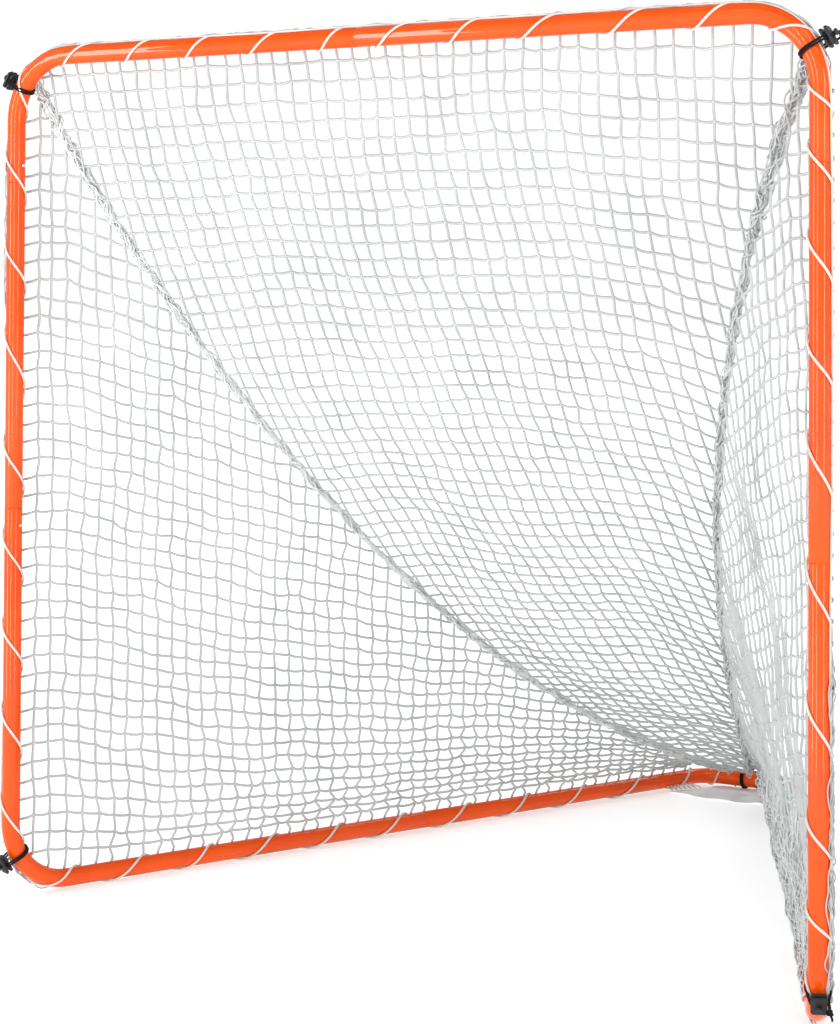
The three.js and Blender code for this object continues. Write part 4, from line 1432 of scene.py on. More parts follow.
    def _body(self) -> bpy.types.Object:
        """Makes the spool: two plates on a waist, with a cord slot, a bore and two cord notches.

        Returns:
            The spool in the lock's own frame.
        """
        thickness, gap = self.plate_thickness, self.clearance
        plate = self.plate_length, self.plate_width, self.plate_corner
        body = stacked_solid(self._plate(*plate, self.inner_foot, thickness), "body", PLASTIC)
        outer = stacked_solid(self._plate(*plate, self.outer_foot, thickness), "plate", PLASTIC)
        combine(body, outer, Combining.JOIN)
        middle = self.waist_length, self.waist_width, self.waist_width / 4
        waist = self._plate(*middle, self.waist_foot - thickness / 2, self.waist_height + thickness)
        combine(body, stacked_solid(waist, "waist", PLASTIC), Combining.JOIN)
        under = self.inner_foot - thickness
        over = self.top - self.inner_foot + 2 * thickness
        bore = self.stem_length + 2 * gap, self.stem_width + 2 * gap, under, over
        slot = (
            self.slot_width, self.waist_width + thickness, self.waist_foot + gap, self.waist_height - 2 * gap
        )
        notch = self.notch_width, 2 * self.notch_depth, under, 2.5 * thickness
        combine(body, self._block(*bore), Combining.CUT)
        combine(body, self._block(*slot), Combining.CUT)
        for way in (-1, 1):
            combine(body, self._block(*notch, way * self.plate_width / 2), Combining.CUT)
        round_edges(body, self.round_edge / 3, 50)
        return body

    def _plunger(self) -> bpy.types.Object:
        """Makes the plunger: a flat stem with its cord slot, a neck and a round thumb head.

        Returns:
            The plunger in the lock's own frame.
        """
        gap, edge = self.clearance, self.round_edge
        slot_foot = self.waist_foot + gap
        foot = slot_foot - self.stem_tie
        size = self.stem_length, self.stem_width, self.stem_width / 5
        stem = stacked_solid(self._plate(*size, foot, self.top - gap - foot), "stem", PLASTIC)
        neck, rim = self.neck_radius, self.head_radius
        sunk = self.top - 2 * neck / 3
        head_top = self.head_foot + self.head_thickness
        profile = [(0.0, sunk), (neck, sunk), (neck, self.head_foot), (rim - edge / 2, self.head_foot)]
        profile += [(rim, self.head_foot + edge / 2), (rim, head_top - edge)]
        profile += [
            (rim - edge * (1 - math.cos(a)), head_top - edge + edge * math.sin(a))
            for a in np.linspace(self.head_start, math.pi / 2, 4)
        ]
        profile += [(rim / 2, head_top), (0.0, head_top - edge / 3)]
        maker = MeshMaker()
        rows = turned_rows(profile, self.head_sides, np.zeros(3), UP, RIGHTWARD, REARWARD)
        maker.grid(rows, closed_across=True)
        head = maker.finish("head", PLASTIC)
        weld(head)
        combine(stem, head, Combining.JOIN)
        height = self.waist_height - 2 * gap + self.travel
        combine(stem, self._block(self.slot_width, 2 * self.stem_width, slot_foot, height), Combining.CUT)
        round_edges(stem, self.round_edge / 4, 55)
        return stem

    def _coil_line(self) -> Points:
        """Draws the coil spring's middle line.

        Returns:
            Its points in the lock's own frame.
        """
        foot = self.top + self.clearance + self.coil_wire
        rise = self.neck_length - 2 * (self.clearance + self.coil_wire)
        turns = np.linspace(0, self.coil_turns, self.coil_steps + 1)
        angles = 2 * np.pi * turns
        x, y = self.coil_radius * np.cos(angles), self.coil_radius * np.sin(angles)
        return np.stack([x, y, foot + rise * turns / self.coil_turns], axis=1)

    def _elastic_line(self) -> Points:
        """Draws the loop's middle line: twice round the tube, through the slot and up to the knot.

        Returns:
            Its points in the lock's own frame.
        """
        sizes, radius = self.ring.sizes, self.elastic_radius
        wind = sizes.tube_radius + self.elastic_gap + radius
        lane = self.elastic_spacing
        notch_edge = self.plate_width / 2 - self.notch_depth / 3
        under = self.inner_foot + self.plate_thickness / 2
        slot_exit = self.waist_width / 2 + radius
        knot_top = self.top + self.knot_rise
        leave = math.atan2(under, notch_edge) - math.acos(wind / math.hypot(notch_edge, under))
        sweep = math.pi + 2 * leave
        first, last = -lane / 2, 1.5 * lane
        route = [(first, self.knot_out, knot_top), (first, self.knot_out, self.slot_middle + 2 * radius)]
        for start in (first, first + lane):
            route += [(start, y * slot_exit, self.slot_middle) for y in (1, 1 / 3, -1 / 3, -1)]
            route += [(start, -notch_edge - radius, under)]
            for share in np.linspace(0.0, 1.0, self.wind_steps + 1):
                angle = math.pi - leave + sweep * share
                route.append((start + lane * share, wind * math.cos(angle), wind * math.sin(angle)))
            if start < 0:
                route += [(start + lane, notch_edge + radius, under)]
        route += [(last, self.knot_out, self.inner_foot), (last, self.knot_out, knot_top - radius)]
        return spline(np.array(route), 4)

    def build(self) -> list[bpy.types.Object]:
        """Makes the five sets and puts each at its place.

        Returns:
            The spools, thumb buttons, coils and loops.
        """
        body, plunger = self._body(), self._plunger()
        coil_line, loop_line = self._coil_line(), self._elastic_line()
        pieces = []
        for place in self.places():
            name = place.name
            spool = self._copy(body, place, f"{name}_lock_spool")
            dress(spool, ROOT, PLASTIC, f"{name}_cord_lock_body")
            button = self._copy(plunger, place, f"{name}_lock_thumb_button")
            dress(button, f"{name}_plunger", PLASTIC, f"{name}_cord_lock_plunger")
            pieces += [spool, button, self._coil(coil_line, place), self._loop(loop_line, place)]
        for spare in (body, plunger):
            bpy.data.objects.remove(spare)
        return pieces

    def _copy(self, source: bpy.types.Object, place: LockPlace, name: str) -> bpy.types.Object:
        """Copies a piece to a place.

        Args:
            source: The piece in the lock's own frame.
            place: The place.
            name: The copy's name.

        Returns:
            The copy.
        """
        matrix = Matrix(place.axes().tolist()).transposed().to_4x4()
        matrix.translation = Vector(place.point + np.array(self.ring.sizes.place))
        copy = bpy.data.objects.new(name, source.data.copy())
        bpy.context.scene.collection.objects.link(copy)
        copy.data.transform(matrix)
        copy.data.polygons.foreach_set("use_smooth", np.full(len(copy.data.polygons), True))
        copy.data.set_sharp_from_angle(angle=math.radians(self.crisp_angle))
        return copy

    def _coil(self, line: Points, place: LockPlace) -> bpy.types.Object:
        """Makes the coil spring round a plunger's neck.

        Args:
            line: Its middle line in the lock's own frame.
            place: The lock's place.

        Returns:
            The spring.
        """
        shift = np.array(self.ring.sizes.place)
        maker = MeshMaker()
        maker.tube(place.world(line), self.coil_wire, self.end_sides, place.outward)
        coil = maker.finish(f"{place.name}_lock_coil", SPRING_WIRE, shift)
        dress(coil, ROOT, SPRING_WIRE, f"{place.name}_cord_lock_spring")
        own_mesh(coil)
        return coil

    def _loop(self, line: Points, place: LockPlace) -> bpy.types.Object:
        """Makes the elastic loop with an overhand knot of its two ends and their short cut tails.

        Args:
            line: Its middle line in the lock's own frame.
            place: The lock's place.

        Returns:
            The loop.
        """
        radius, sides = self.elastic_radius, self.end_sides
        maker = MeshMaker()
        maker.tube(place.world(line), radius, self.cord_sides, RIGHTWARD @ place.axes())
        knot_at = np.array([self.elastic_spacing / 2, self.knot_out, self.top + self.knot_rise])
        turns = np.linspace(0, 2 * np.pi, 49)[:-1]
        wide, deep, high = self.knot_share * radius * np.array(self.knot_shape)
        x, y = np.sin(turns) + 2 * np.sin(2 * turns), np.cos(turns) - 2 * np.cos(2 * turns)
        knot = np.stack([wide * x, deep * y, -high * np.sin(3 * turns)], axis=1)
        maker.tube(
            place.world(knot + knot_at), radius, sides, place.outward + 0.3 * place.across, closed=True
        )
        for way in (-1, 1):
            tail = knot_at + np.array(self.tail) * (way, 1.0, 1.0)
            maker.tube(place.world(spline(tail, 4)), radius * 0.95, sides, place.across)
        loop = maker.finish(f"{place.name}_shock_cord", ELASTIC, np.array(self.ring.sizes.place))
        dress(loop, ROOT, ELASTIC, f"{place.name}_elastic_loop")
        return loop


@dataclass
class Lacing:
    """The white cord that is wound all the way round the frame and ties the net to it.

    The lists hold the places where the cord passes one side of the tube: up the posts from the ground,
    along the crossbar from its middle, along the base from the front corner.
    """

    ring: TubeRing
    radius: float = 0.0026
    gap: float = 0.0002
    pitch: float = 0.19
    near_edge: tuple[float, float, float] = (-0.854, -0.520, 0.0)
    under_edge: tuple[float, float, float] = (0.24, -0.10, -0.966)
    left_post_heights: tuple[float, ...] = (0.220, 0.414, 0.601, 0.799, 1.003, 1.248, 1.441, 1.643, 1.850)
    right_post_heights: tuple[float, ...] = (
        0.113, 0.232, 0.392, 0.601, 0.840, 1.070, 1.245, 1.438, 1.603, 1.712
    )
    crossbar_places: tuple[float, ...] = (
        -0.809, -0.636, -0.477, -0.315, -0.135, -0.003, 0.163, 0.322, 0.512, 0.686, 0.851
    )
    base_places: tuple[float, ...] = (
        0.076, 0.249, 0.441, 0.606, 0.802, 0.987, 1.186, 1.396, 1.581, 1.777, 1.991
    )
    rear_places: tuple[float, ...] = (-0.096, -0.029)
    end_gap: float = 0.03
    steps: int = 2600
    search_steps: int = 4000
    half_window: int = 15
    sides: int = 10
    flatness: float = 0.9

    def _marks(self) -> list[tuple[float, Points]]:
        """Finds the stations where the cord passes a known side of the tube.

        Returns:
            Each station with that side's direction, in order round the ring.
        """
        ring, sizes = self.ring, self.ring.sizes
        half, raised = sizes.half_spacing, sizes.base_height - sizes.tube_radius
        near_edge, under_edge = np.array(self.near_edge), np.array(self.under_edge)
        base = [ring.corners[Corner.BOTTOM_LEFT] + ring.base_way * place for place in self.base_places]
        marks = [((x, sizes.frame_depth, sizes.base_height), -UP) for x in self.rear_places]
        marks += [(spot, under_edge) for spot in base]
        marks += [((-half, 0.0, height + raised), near_edge) for height in self.left_post_heights]
        marks += [((x, 0.0, sizes.crossbar_height), -UP) for x in self.crossbar_places]
        marks += [((half, 0.0, height + raised), near_edge) for height in self.right_post_heights]
        marks += [(spot * MIRROR, -UP) for spot in base[1:]]
        stations = np.linspace(0.0, ring.length, self.search_steps)
        spots = np.array([ring.at(s)[0] for s in stations])
        nearest = [int(np.argmin(np.linalg.norm(spots - np.array(spot), axis=1))) for spot, _ in marks]
        return sorted(zip(stations[nearest], (way for _, way in marks)), key=lambda mark: mark[0])

    def _angles(self, stations: Points) -> Points:
        """Winds the cord left-handed through its marks.

        Args:
            stations: Places round the ring.

        Returns:
            The cord's angle round the tube at each of them.
        """
        full = 2 * math.pi
        slope = full / self.pitch
        known: list[tuple[float, float]] = []
        for station, way in self._marks():
            _, carried, square = self.ring.frame_at(station)
            angle = math.atan2(float(np.dot(way, square)), float(np.dot(way, carried)))
            if known:
                expected = known[-1][1] - slope * (station - known[-1][0])
                angle += full * round((expected - angle) / full)
                if angle >= known[-1][1]:
                    angle -= full
            known.append((station, angle))
        places, angles = np.array(known).T
        last = self.ring.length
        before = angles[0] + slope * places[0]
        after = angles[-1] - slope * (last - places[-1])
        wound = np.interp(stations, [0.0, *places, last], [before, *angles, after])
        return smoothed(wound, self.half_window)

    def build(self) -> list[bpy.types.Object]:
        """Winds the cord, with both its ends beside the rear lock.

        Returns:
            The cord.
        """
        stations = np.linspace(self.end_gap, self.ring.length - self.end_gap, self.steps)
        reach = self.ring.sizes.tube_radius + self.gap + self.radius
        path, lift = [], []
        for station, angle in zip(stations, self._angles(stations)):
            point, carried, square = self.ring.frame_at(station)
            radial = math.cos(angle) * carried + math.sin(angle) * square
            path.append(point + radial * reach)
            lift.append(radial)
        maker = MeshMaker()
        maker.tube(np.array(path), self.radius, self.sides, np.array(lift), flatness=self.flatness)
        cord = maker.finish("frame_lacing", LACE, self.ring.sizes.place)
        names = ("left_post", "right_post", "crossbar", "left_base", "right_base")
        dress(cord, ROOT, LACE, *(f"{name}_lacing" for name in names))
        LOG.info("lacing: %.2f m of cord", distances(np.array(path))[-1])
        return [cord]


@dataclass
class NetForm:
    """The surfaces that the net hangs in: a curved roof and two leaning sides that meet it at ridges."""

    ring: TubeRing
    standoff: float = 0.0308
    roof_standoff: float = 0.0295
    ridge_start: float = 0.03
    spread_shares: tuple[float, float, float] = (1.007, -0.558, 0.656)
    rear_gather_half: float = 0.022
    near_shares: tuple[float, float] = (0.031, 0.676)
    far_shares: tuple[float, float] = (0.443, 0.204)
    plane_turn: float = math.radians(31.3)
    slack_slope: float = 0.2
    slack_start: float = 0.12
    slack_share: float = 0.6

    def __post_init__(self) -> None:
        """Measures the roof's line and the ridge."""
        sizes = self.ring.sizes
        depth, high, low = sizes.frame_depth, sizes.crossbar_height, sizes.base_height
        lift = self.standoff * math.sqrt(0.5)
        control = np.array(
            [
                (self.roof_standoff, high),
                (self.roof_standoff + self.near_shares[0] * depth, self.near_shares[1] * high),
                (self.far_shares[0] * depth, self.far_shares[1] * high),
                (depth - lift, low + lift),
            ]
        )
        t = np.linspace(0, 1, 800)[:, None]
        line = (
            control[0] * (1 - t) ** 3
            + 3 * control[1] * (1 - t) ** 2 * t
            + 3 * control[2] * (1 - t) * t**2
            + control[3] * t**3
        )
        self._along = distances(line)
        self.roof_length = float(self._along[-1])
        self._line = line
        self._slopes = unit(np.gradient(line, axis=0))
        self._ridge_shares = np.linspace(0.0, 1.0, 600)
        self._ridge = self.ridge_point(self._ridge_shares)
        self.base_start = self.ring.corners[Corner.BOTTOM_LEFT] + UP * self.standoff

    def spread(self, share: Points | float) -> Points | float:
        """Finds half the roof's width.

        Args:
            share: How far down the roof, as a share of its length.

        Returns:
            The half width there.
        """
        near, middle, far = self.spread_shares
        wide = (1 - share) * (near + middle * share + far * share * share)
        return self.ring.sizes.half_spacing * wide + self.rear_gather_half * share

    def roof(self, x: Points, distance: Points) -> tuple[Points, Points]:
        """Finds places on the roof.

        Args:
            x: How far across they lie.
            distance: How far down the roof they lie.

        Returns:
            The places and the roof's outward directions there.
        """
        y, z = (np.interp(distance, self._along, self._line[:, k]) for k in (0, 1))
        slope_y, slope_z = (np.interp(distance, self._along, self._slopes[:, k]) for k in (0, 1))
        return np.stack([x, y, z], axis=-1), np.stack([0 * slope_y, -slope_z, slope_y], axis=-1)

    def ridge_point(self, share: Points) -> Points:
        """Returns places on the left ridge at shares of the roof's length."""
        share = np.asarray(share)
        return self.roof(-self.spread(share), share * self.roof_length)[0]

    def side_foot(self, back: Points) -> Points:
        """Returns places on the line over the left base tube."""
        return self.base_start + np.asarray(back)[..., None] * self.ring.base_way

    def side_ridge(self, back: Points) -> Points:
        """Finds the ridge's places in the upright planes through the feet of the side's upright strands.

        Args:
            back: The feet's distances along the base tube.

        Returns:
            A place for each.
        """
        normal = np.array([math.cos(self.plane_turn), math.sin(self.plane_turn), 0.0])
        reach = self._ridge @ normal
        first = np.searchsorted(self._ridge_shares, self.ridge_start)
        shares = np.interp(self.side_foot(back) @ normal, reach[first:], self._ridge_shares[first:])
        return self.ridge_point(shares)

    def side(self, back: Points, rise: Points) -> tuple[Points, Points, Points]:
        """Finds places on the left side.

        Args:
            back: Distance along the base tube.
            rise: Distance up the line from the foot to the ridge.

        Returns:
            The places, the outward directions and the side's whole height there.
        """
        foot = self.side_foot(back)
        ruling = self.side_ridge(back) - foot
        height = np.linalg.norm(ruling, axis=-1)
        way = ruling / height[..., None]
        outward = unit(np.cross(way, np.broadcast_to(self.ring.base_way, way.shape)))
        return foot + way * np.asarray(rise)[..., None], -outward, height

    def side_row(self, back: Points, row: float) -> Points:
        """Hangs a row of the mesh on the side: the rows crowd together over the tube.

        Args:
            back: Distance along the base tube.
            row: The row's distance up the cloth when it lies flat.

        Returns:
            How far up the side the row hangs.
        """
        slack = self.slack_slope * np.maximum(0.0, np.asarray(back) - self.slack_start)
        scale = np.maximum(slack / self.slack_share, 1e-6)
        return row - slack * (1 - np.exp(-row / scale))


class Waves:
    """A smooth random swell over a surface, the same on every run."""

    def __init__(self, seed: int, size: float, shortest: float, longest: float, count: int = 7) -> None:
        """Chooses the waves.

        Args:
            seed: The start of the random draws.
            size: The swell's usual height.
            shortest: The shortest wave's length.
            longest: The longest wave's length.
            count: How many waves are added.
        """
        draw = np.random.default_rng(seed)
        lengths = draw.uniform(shortest, longest, count)
        ways = draw.uniform(0, 2 * np.pi, count)
        self._ways = np.stack([np.cos(ways), np.sin(ways)], axis=1) * (2 * np.pi / lengths)[:, None]
        self._starts = draw.uniform(0, 2 * np.pi, count)
        self._size = size * math.sqrt(2 / count)

    def __call__(self, u: Points, v: Points) -> Points:
        """Returns the swell at places of the surface."""
        phase = u[..., None] * self._ways[:, 0] + v[..., None] * self._ways[:, 1] + self._starts
        return self._size * np.sin(phase).sum(axis=-1)


@dataclass
class MeshPanel:
    """A panel of square mesh: crossings on a surface, strands between them, a knot at each."""

    name: str
    nodes: tuple[str, ...]
    form: NetForm
    twine: BraidedCord = SHADED_TWINE
    mesh: float = 0.0397
    strand: float = 0.0030
    jitter: float = 0.0015
    droop: float = 0.0022
    droop_shares: tuple[float, float] = (0.3, 1.6)
    thin_knot: tuple[float, float, float] = (1.5, 1.25, 1.2)
    fat_knot: tuple[float, float, float] = (2.1, 1.7, 1.5)
    edge_share: float = 0.3
    sides: int = 5
    steps: int = 3
    seed: int = 11

    def __post_init__(self) -> None:
        """Starts the panel's mesh and its random draws."""
        self.draw = np.random.default_rng(self.seed)
        self.swell = Waves(self.seed + 1, 0.006, 0.35, 1.3)
        self.shift_u = Waves(self.seed + 2, 0.003, 0.18, 0.7)
        self.shift_v = Waves(self.seed + 3, 0.003, 0.18, 0.7)
        self.maker = MeshMaker()
        self.length = 0.0

    def strand_through(self, points: Points, lift: Points, droop: float) -> None:
        """Adds one strand through its crossings, hanging a little between them.

        Args:
            points: The crossings and the ends.
            lift: A direction that the strand never follows.
            droop: How far each stretch hangs.
        """
        if len(points) < 2:
            return
        line = spline(points, self.steps)
        phase = np.tile(np.arange(self.steps) / self.steps, len(points) - 1)
        deep = np.repeat(self.draw.uniform(*self.droop_shares, len(points) - 1), self.steps)
        line[:-1] -= (4 * phase * (1 - phase) * droop * deep)[:, None] * UP
        self.maker.tube(line, self.strand, self.sides, lift)
        self.length += float(distances(line)[-1])

    def knots(self, centres: Points) -> None:
        """Adds a knot at each crossing."""
        sizes = self.strand * self.draw.uniform(self.thin_knot, self.fat_knot, (len(centres), 3))
        self.maker.lumps(centres, sizes, self.draw)

    def finish(self) -> list[bpy.types.Object]:
        """Makes the panel's object.

        Returns:
            The panel.
        """
        piece = self.maker.finish(self.name, self.twine, self.form.ring.sizes.place)
        dress(piece, ROOT, self.twine, *self.nodes)
        LOG.info("%s: %.0f m of twine", self.name, self.length)
        return [piece]


@dataclass
class RoofPanel(MeshPanel):
    """The roof: its rows run level across, its columns down the slope, and both end at the ridges."""

    ridge_fade: float = 0.15
    top_fade: float = 0.12
    draw_in: float = 0.06
    draw_in_reach: float = 0.35
    corner_sag: float = 0.036
    corner_across: tuple[float, float] = (0.3, 0.5)
    corner_down: tuple[float, float] = (0.5, 0.8)
    top_ease: float = 0.1
    ridge_sag_high: float = 0.014
    ridge_sag_low: float = 0.055
    ridge_band: float = 0.3
    ridge_band_share: float = 0.6
    ridge_growth: tuple[float, float] = (0.1, 0.9)
    rear_ease: tuple[float, float] = (0.35, 0.5)
    left_share: float = 0.4
    column_end_share: float = 0.2
    column_droop_share: float = 0.3
    wrap_turns: tuple[tuple[float, float], ...] = ((75, 1.18), (45, 1.22), (15, 1.36))

    def build(self) -> list[bpy.types.Object]:
        """Makes the crossings and their knots, then every column and row.

        Returns:
            The panel.
        """
        form, mesh, margin = self.form, self.mesh, self.edge_share * self.mesh
        half, bend = form.ring.sizes.half_spacing, form.ring.sizes.front_bend
        count = math.floor(half / mesh)
        across = np.arange(-count, count + 1) * mesh
        down = np.arange(math.floor(form.roof_length / mesh) + 1) * mesh
        x, d = np.meshgrid(across, down, indexing="ij")
        spread = form.spread(d / form.roof_length)
        past = np.clip(np.abs(x) - (half - bend), 0, bend)
        start = bend - np.sqrt(bend**2 - past**2)
        inside = (np.abs(x) < spread - margin) & (d > start + margin)
        fade = np.clip((spread - np.abs(x)) / self.ridge_fade, 0, 1) * np.clip(d / self.top_fade, 0, 1)
        noise = self.draw.normal(0, self.jitter, (*x.shape, 3))
        drawn = self.draw_in * (1 - np.exp(-d / self.draw_in_reach))
        u = x * (1 - drawn) + fade * self.shift_u(x, d) + noise[..., 0]
        v = d + self._sag(x, d, spread) + fade * self.shift_v(x, d) + noise[..., 1]
        inside &= np.abs(u) < form.spread(np.minimum(v / form.roof_length, 1.0)) - margin
        spot, outward = form.roof(u, v)
        spot = spot + outward * (fade * self.swell(x, d) + noise[..., 2])[..., None]
        self.knots(spot[inside])
        for i in range(len(across)):
            chosen = np.flatnonzero(inside[i])
            if len(chosen):
                last = i, chosen[-1]
                end = max(self._column_end(abs(u[last])), float(v[last]) + self.column_end_share * mesh)
                foot, _ = form.roof(np.array(u[last]), np.array(end))
                points = np.array([*self._wrap(across[i], start[i, 0]), *spot[i, chosen], foot])
                self.strand_through(points, RIGHTWARD, self.droop * self.column_droop_share)
        for j, distance in enumerate(down):
            chosen = np.flatnonzero(inside[:, j])
            if len(chosen):
                near, far = (self._row_end(way * float(spread[0, j]), float(distance)) for way in (-1, 1))
                self.strand_through(np.array([near, *spot[chosen, j], far]), REARWARD, self.droop)
        return self.finish()

    def _sag(self, x: Points, d: Points, spread: Points) -> Points:
        """Lets the rows sag down the roof, most of all on the right and beside the ridges.

        Args:
            x: How far across.
            d: How far down the roof.
            spread: Half the roof's width there.

        Returns:
            The sag down the roof.
        """
        top = ease(d, 0.0, self.top_ease)
        corner = self.corner_sag * ease(x, *self.corner_across) * top * (1 - ease(d, *self.corner_down))
        band = np.minimum(self.ridge_band, self.ridge_band_share * spread)
        near = np.clip(1 - (spread - np.abs(x)) / band, 0, 1)
        deep = self.ridge_sag_high + self.ridge_sag_low * ease(d, *self.ridge_growth)
        left, reach = self.rear_ease
        deep = deep * top * ease(self.form.roof_length - d, left, reach)
        return corner + near**2 * deep * np.where(np.asarray(x) > 0, 1.0, self.left_share)

    def _row_end(self, x: float, d: float) -> Points:
        """Finds where a row meets the ridge.

        Args:
            x: Half the roof's width, with the sign of the side.
            d: How far down the roof the row hangs.

        Returns:
            The place.
        """
        low = d + float(self._sag(np.array(x), np.array(d), np.array(abs(x))))
        low = min(low, self.form.roof_length)
        return self.form.roof(np.sign(x) * self.form.spread(low / self.form.roof_length), np.array(low))[0]

    def _column_end(self, x: float) -> float:
        """Returns the distance down the roof where a column meets the ridge."""
        shares = np.linspace(0.0, 1.0, 400)
        return float(np.interp(-x, -self.form.spread(shares), shares)) * self.form.roof_length

    def _wrap(self, x: float, start: float) -> list[Points]:
        """Turns a column over the back of the crossbar, from the border cord on top of it.

        Args:
            x: How far across.
            start: How far down the frame's bend lies there.

        Returns:
            The turn's points.
        """
        sizes = self.form.ring.sizes
        found = []
        for angle, share in self.wrap_turns:
            a, reach = math.radians(angle), sizes.tube_radius * share
            z = sizes.crossbar_height - start + reach * math.sin(a)
            found.append(np.array([x, reach * math.cos(a), z]))
        return found


@dataclass
class SidePanel(MeshPanel):
    """A side: its upright strands stand in parallel planes, its rows crowd together over the base tube."""

    side: Side = Side.LEFT
    first_column: float = 0.024
    column: float = 0.0405
    zigzag: float = 0.012
    bow: float = 0.0015
    rows: int = 62
    low_share: float = 0.25
    ridge_fade: float = 0.15
    foot_fade: float = 0.1
    tightest: float = 0.3
    tuck_share: float = 0.35
    tuck_in: float = 0.006
    wrap_turns: tuple[tuple[float, float, float], ...] = (
        (175, 1.16, 0.018),
        (140, 1.2, 0.014),
        (105, 1.35, 0.009),
    )

    def build(self) -> list[bpy.types.Object]:
        """Makes the crossings and their knots, then every column and row.

        Returns:
            The panel.
        """
        form, mesh, way, flip = self.form, self.mesh, self.form.ring.base_way, self.side.flip
        reach = form.ring.base_length - form.standoff
        first = form.standoff + self.first_column
        backs = first + self.column * np.arange(0, math.floor((reach - first) / self.column) + 1)
        flat_rows = mesh * np.arange(0, self.rows)
        a = np.broadcast_to(backs[:, None], (len(backs), len(flat_rows)))
        v = np.stack([form.side_row(backs, row) for row in flat_rows], axis=1)
        _, _, height = form.side(a, v)
        corner = form.ring.sizes.front_bend - form.standoff
        past = np.clip(corner - (a - form.standoff), 0, corner)
        low = corner - np.sqrt(corner**2 - past**2)
        inside = (v > low + self.low_share * mesh) & (v < height - self.edge_share * mesh)
        inside[:, 0] = False
        fade = np.clip((height - v) / self.ridge_fade, 0, 1) * np.clip((v - low) / self.foot_fade, 0, 1)
        fade = fade * np.clip((a - form.standoff) / self.foot_fade, 0, 1)
        noise = self.draw.normal(0, self.jitter, (*a.shape, 3))
        squeeze = np.clip(np.gradient(v, axis=1) / mesh, self.tightest, 1)
        u = a + fade * self.shift_u(a, v) + noise[..., 0]
        r = v + squeeze * (fade * self.shift_v(a, v) + noise[..., 1])
        spot, outward, _ = form.side(u, r)
        spot = spot + outward * (fade * self.swell(a, v) + noise[..., 2])[..., None]
        bow = (self.bow + (1 - squeeze) * self.zigzag) * alternating(a.shape)
        spot = spot + bow[..., None] * way
        self.knots(spot[inside] * flip)
        for i in range(len(backs)):
            chosen = np.flatnonzero(inside[i])
            if len(chosen):
                foot, top = (form.side(backs[i : i + 1], rise[i, :1])[0][0] for rise in (low, height))
                under = foot - UP * form.standoff * self.tuck_share + np.cross(UP, way) * self.tuck_in
                points = np.array([under, foot, *spot[i, chosen], top])
                self.strand_through(points * flip, way * flip, 0.0)
        for j, row in enumerate(flat_rows):
            chosen = np.flatnonzero(inside[:, j])
            if len(chosen):
                points = list(spot[chosen, j])
                if chosen[0] <= 1:
                    points = [*self._wrap(points[0][2]), *points]
                if chosen[-1] + 1 < len(backs):
                    points.append(self._row_end(*backs[chosen[-1] : chosen[-1] + 2], row))
                self.strand_through(np.array(points) * flip, UP, self.droop)
        return self.finish()

    def _row_end(self, near: float, far: float, row: float) -> Points:
        """Finds where a row meets the ridge, between two columns.

        Args:
            near: The nearer column's distance along the base tube.
            far: The farther one's.
            row: The row's distance up the cloth when it lies flat.

        Returns:
            The place.
        """
        backs = np.linspace(near, far, 12)
        rises = self.form.side_row(backs, row)
        _, _, heights = self.form.side(backs, rises)
        k = int(np.argmin(np.abs(heights - rises)))
        return self.form.side(backs[k : k + 1], np.minimum(rises, heights)[k : k + 1])[0][0]

    def _wrap(self, height: float) -> list[Points]:
        """Turns a row round the back of the post, from the border cord outside it.

        Args:
            height: How high the row meets the post.

        Returns:
            The turn's points.
        """
        sizes = self.form.ring.sizes
        found = []
        for angle, share, drop in self.wrap_turns:
            a, reach = math.radians(angle), sizes.tube_radius * share
            x, y = reach * math.cos(a) - sizes.half_spacing, reach * math.sin(a)
            found.append(np.array([x, y, height - drop]))
        return found


def alternating(shape: tuple[int, ...]) -> Points:
    """Returns plus and minus one by turns over a grid, as on a chess board."""
    rows, columns = np.indices(shape)
    return np.where((rows + columns) % 2, 1, -1)


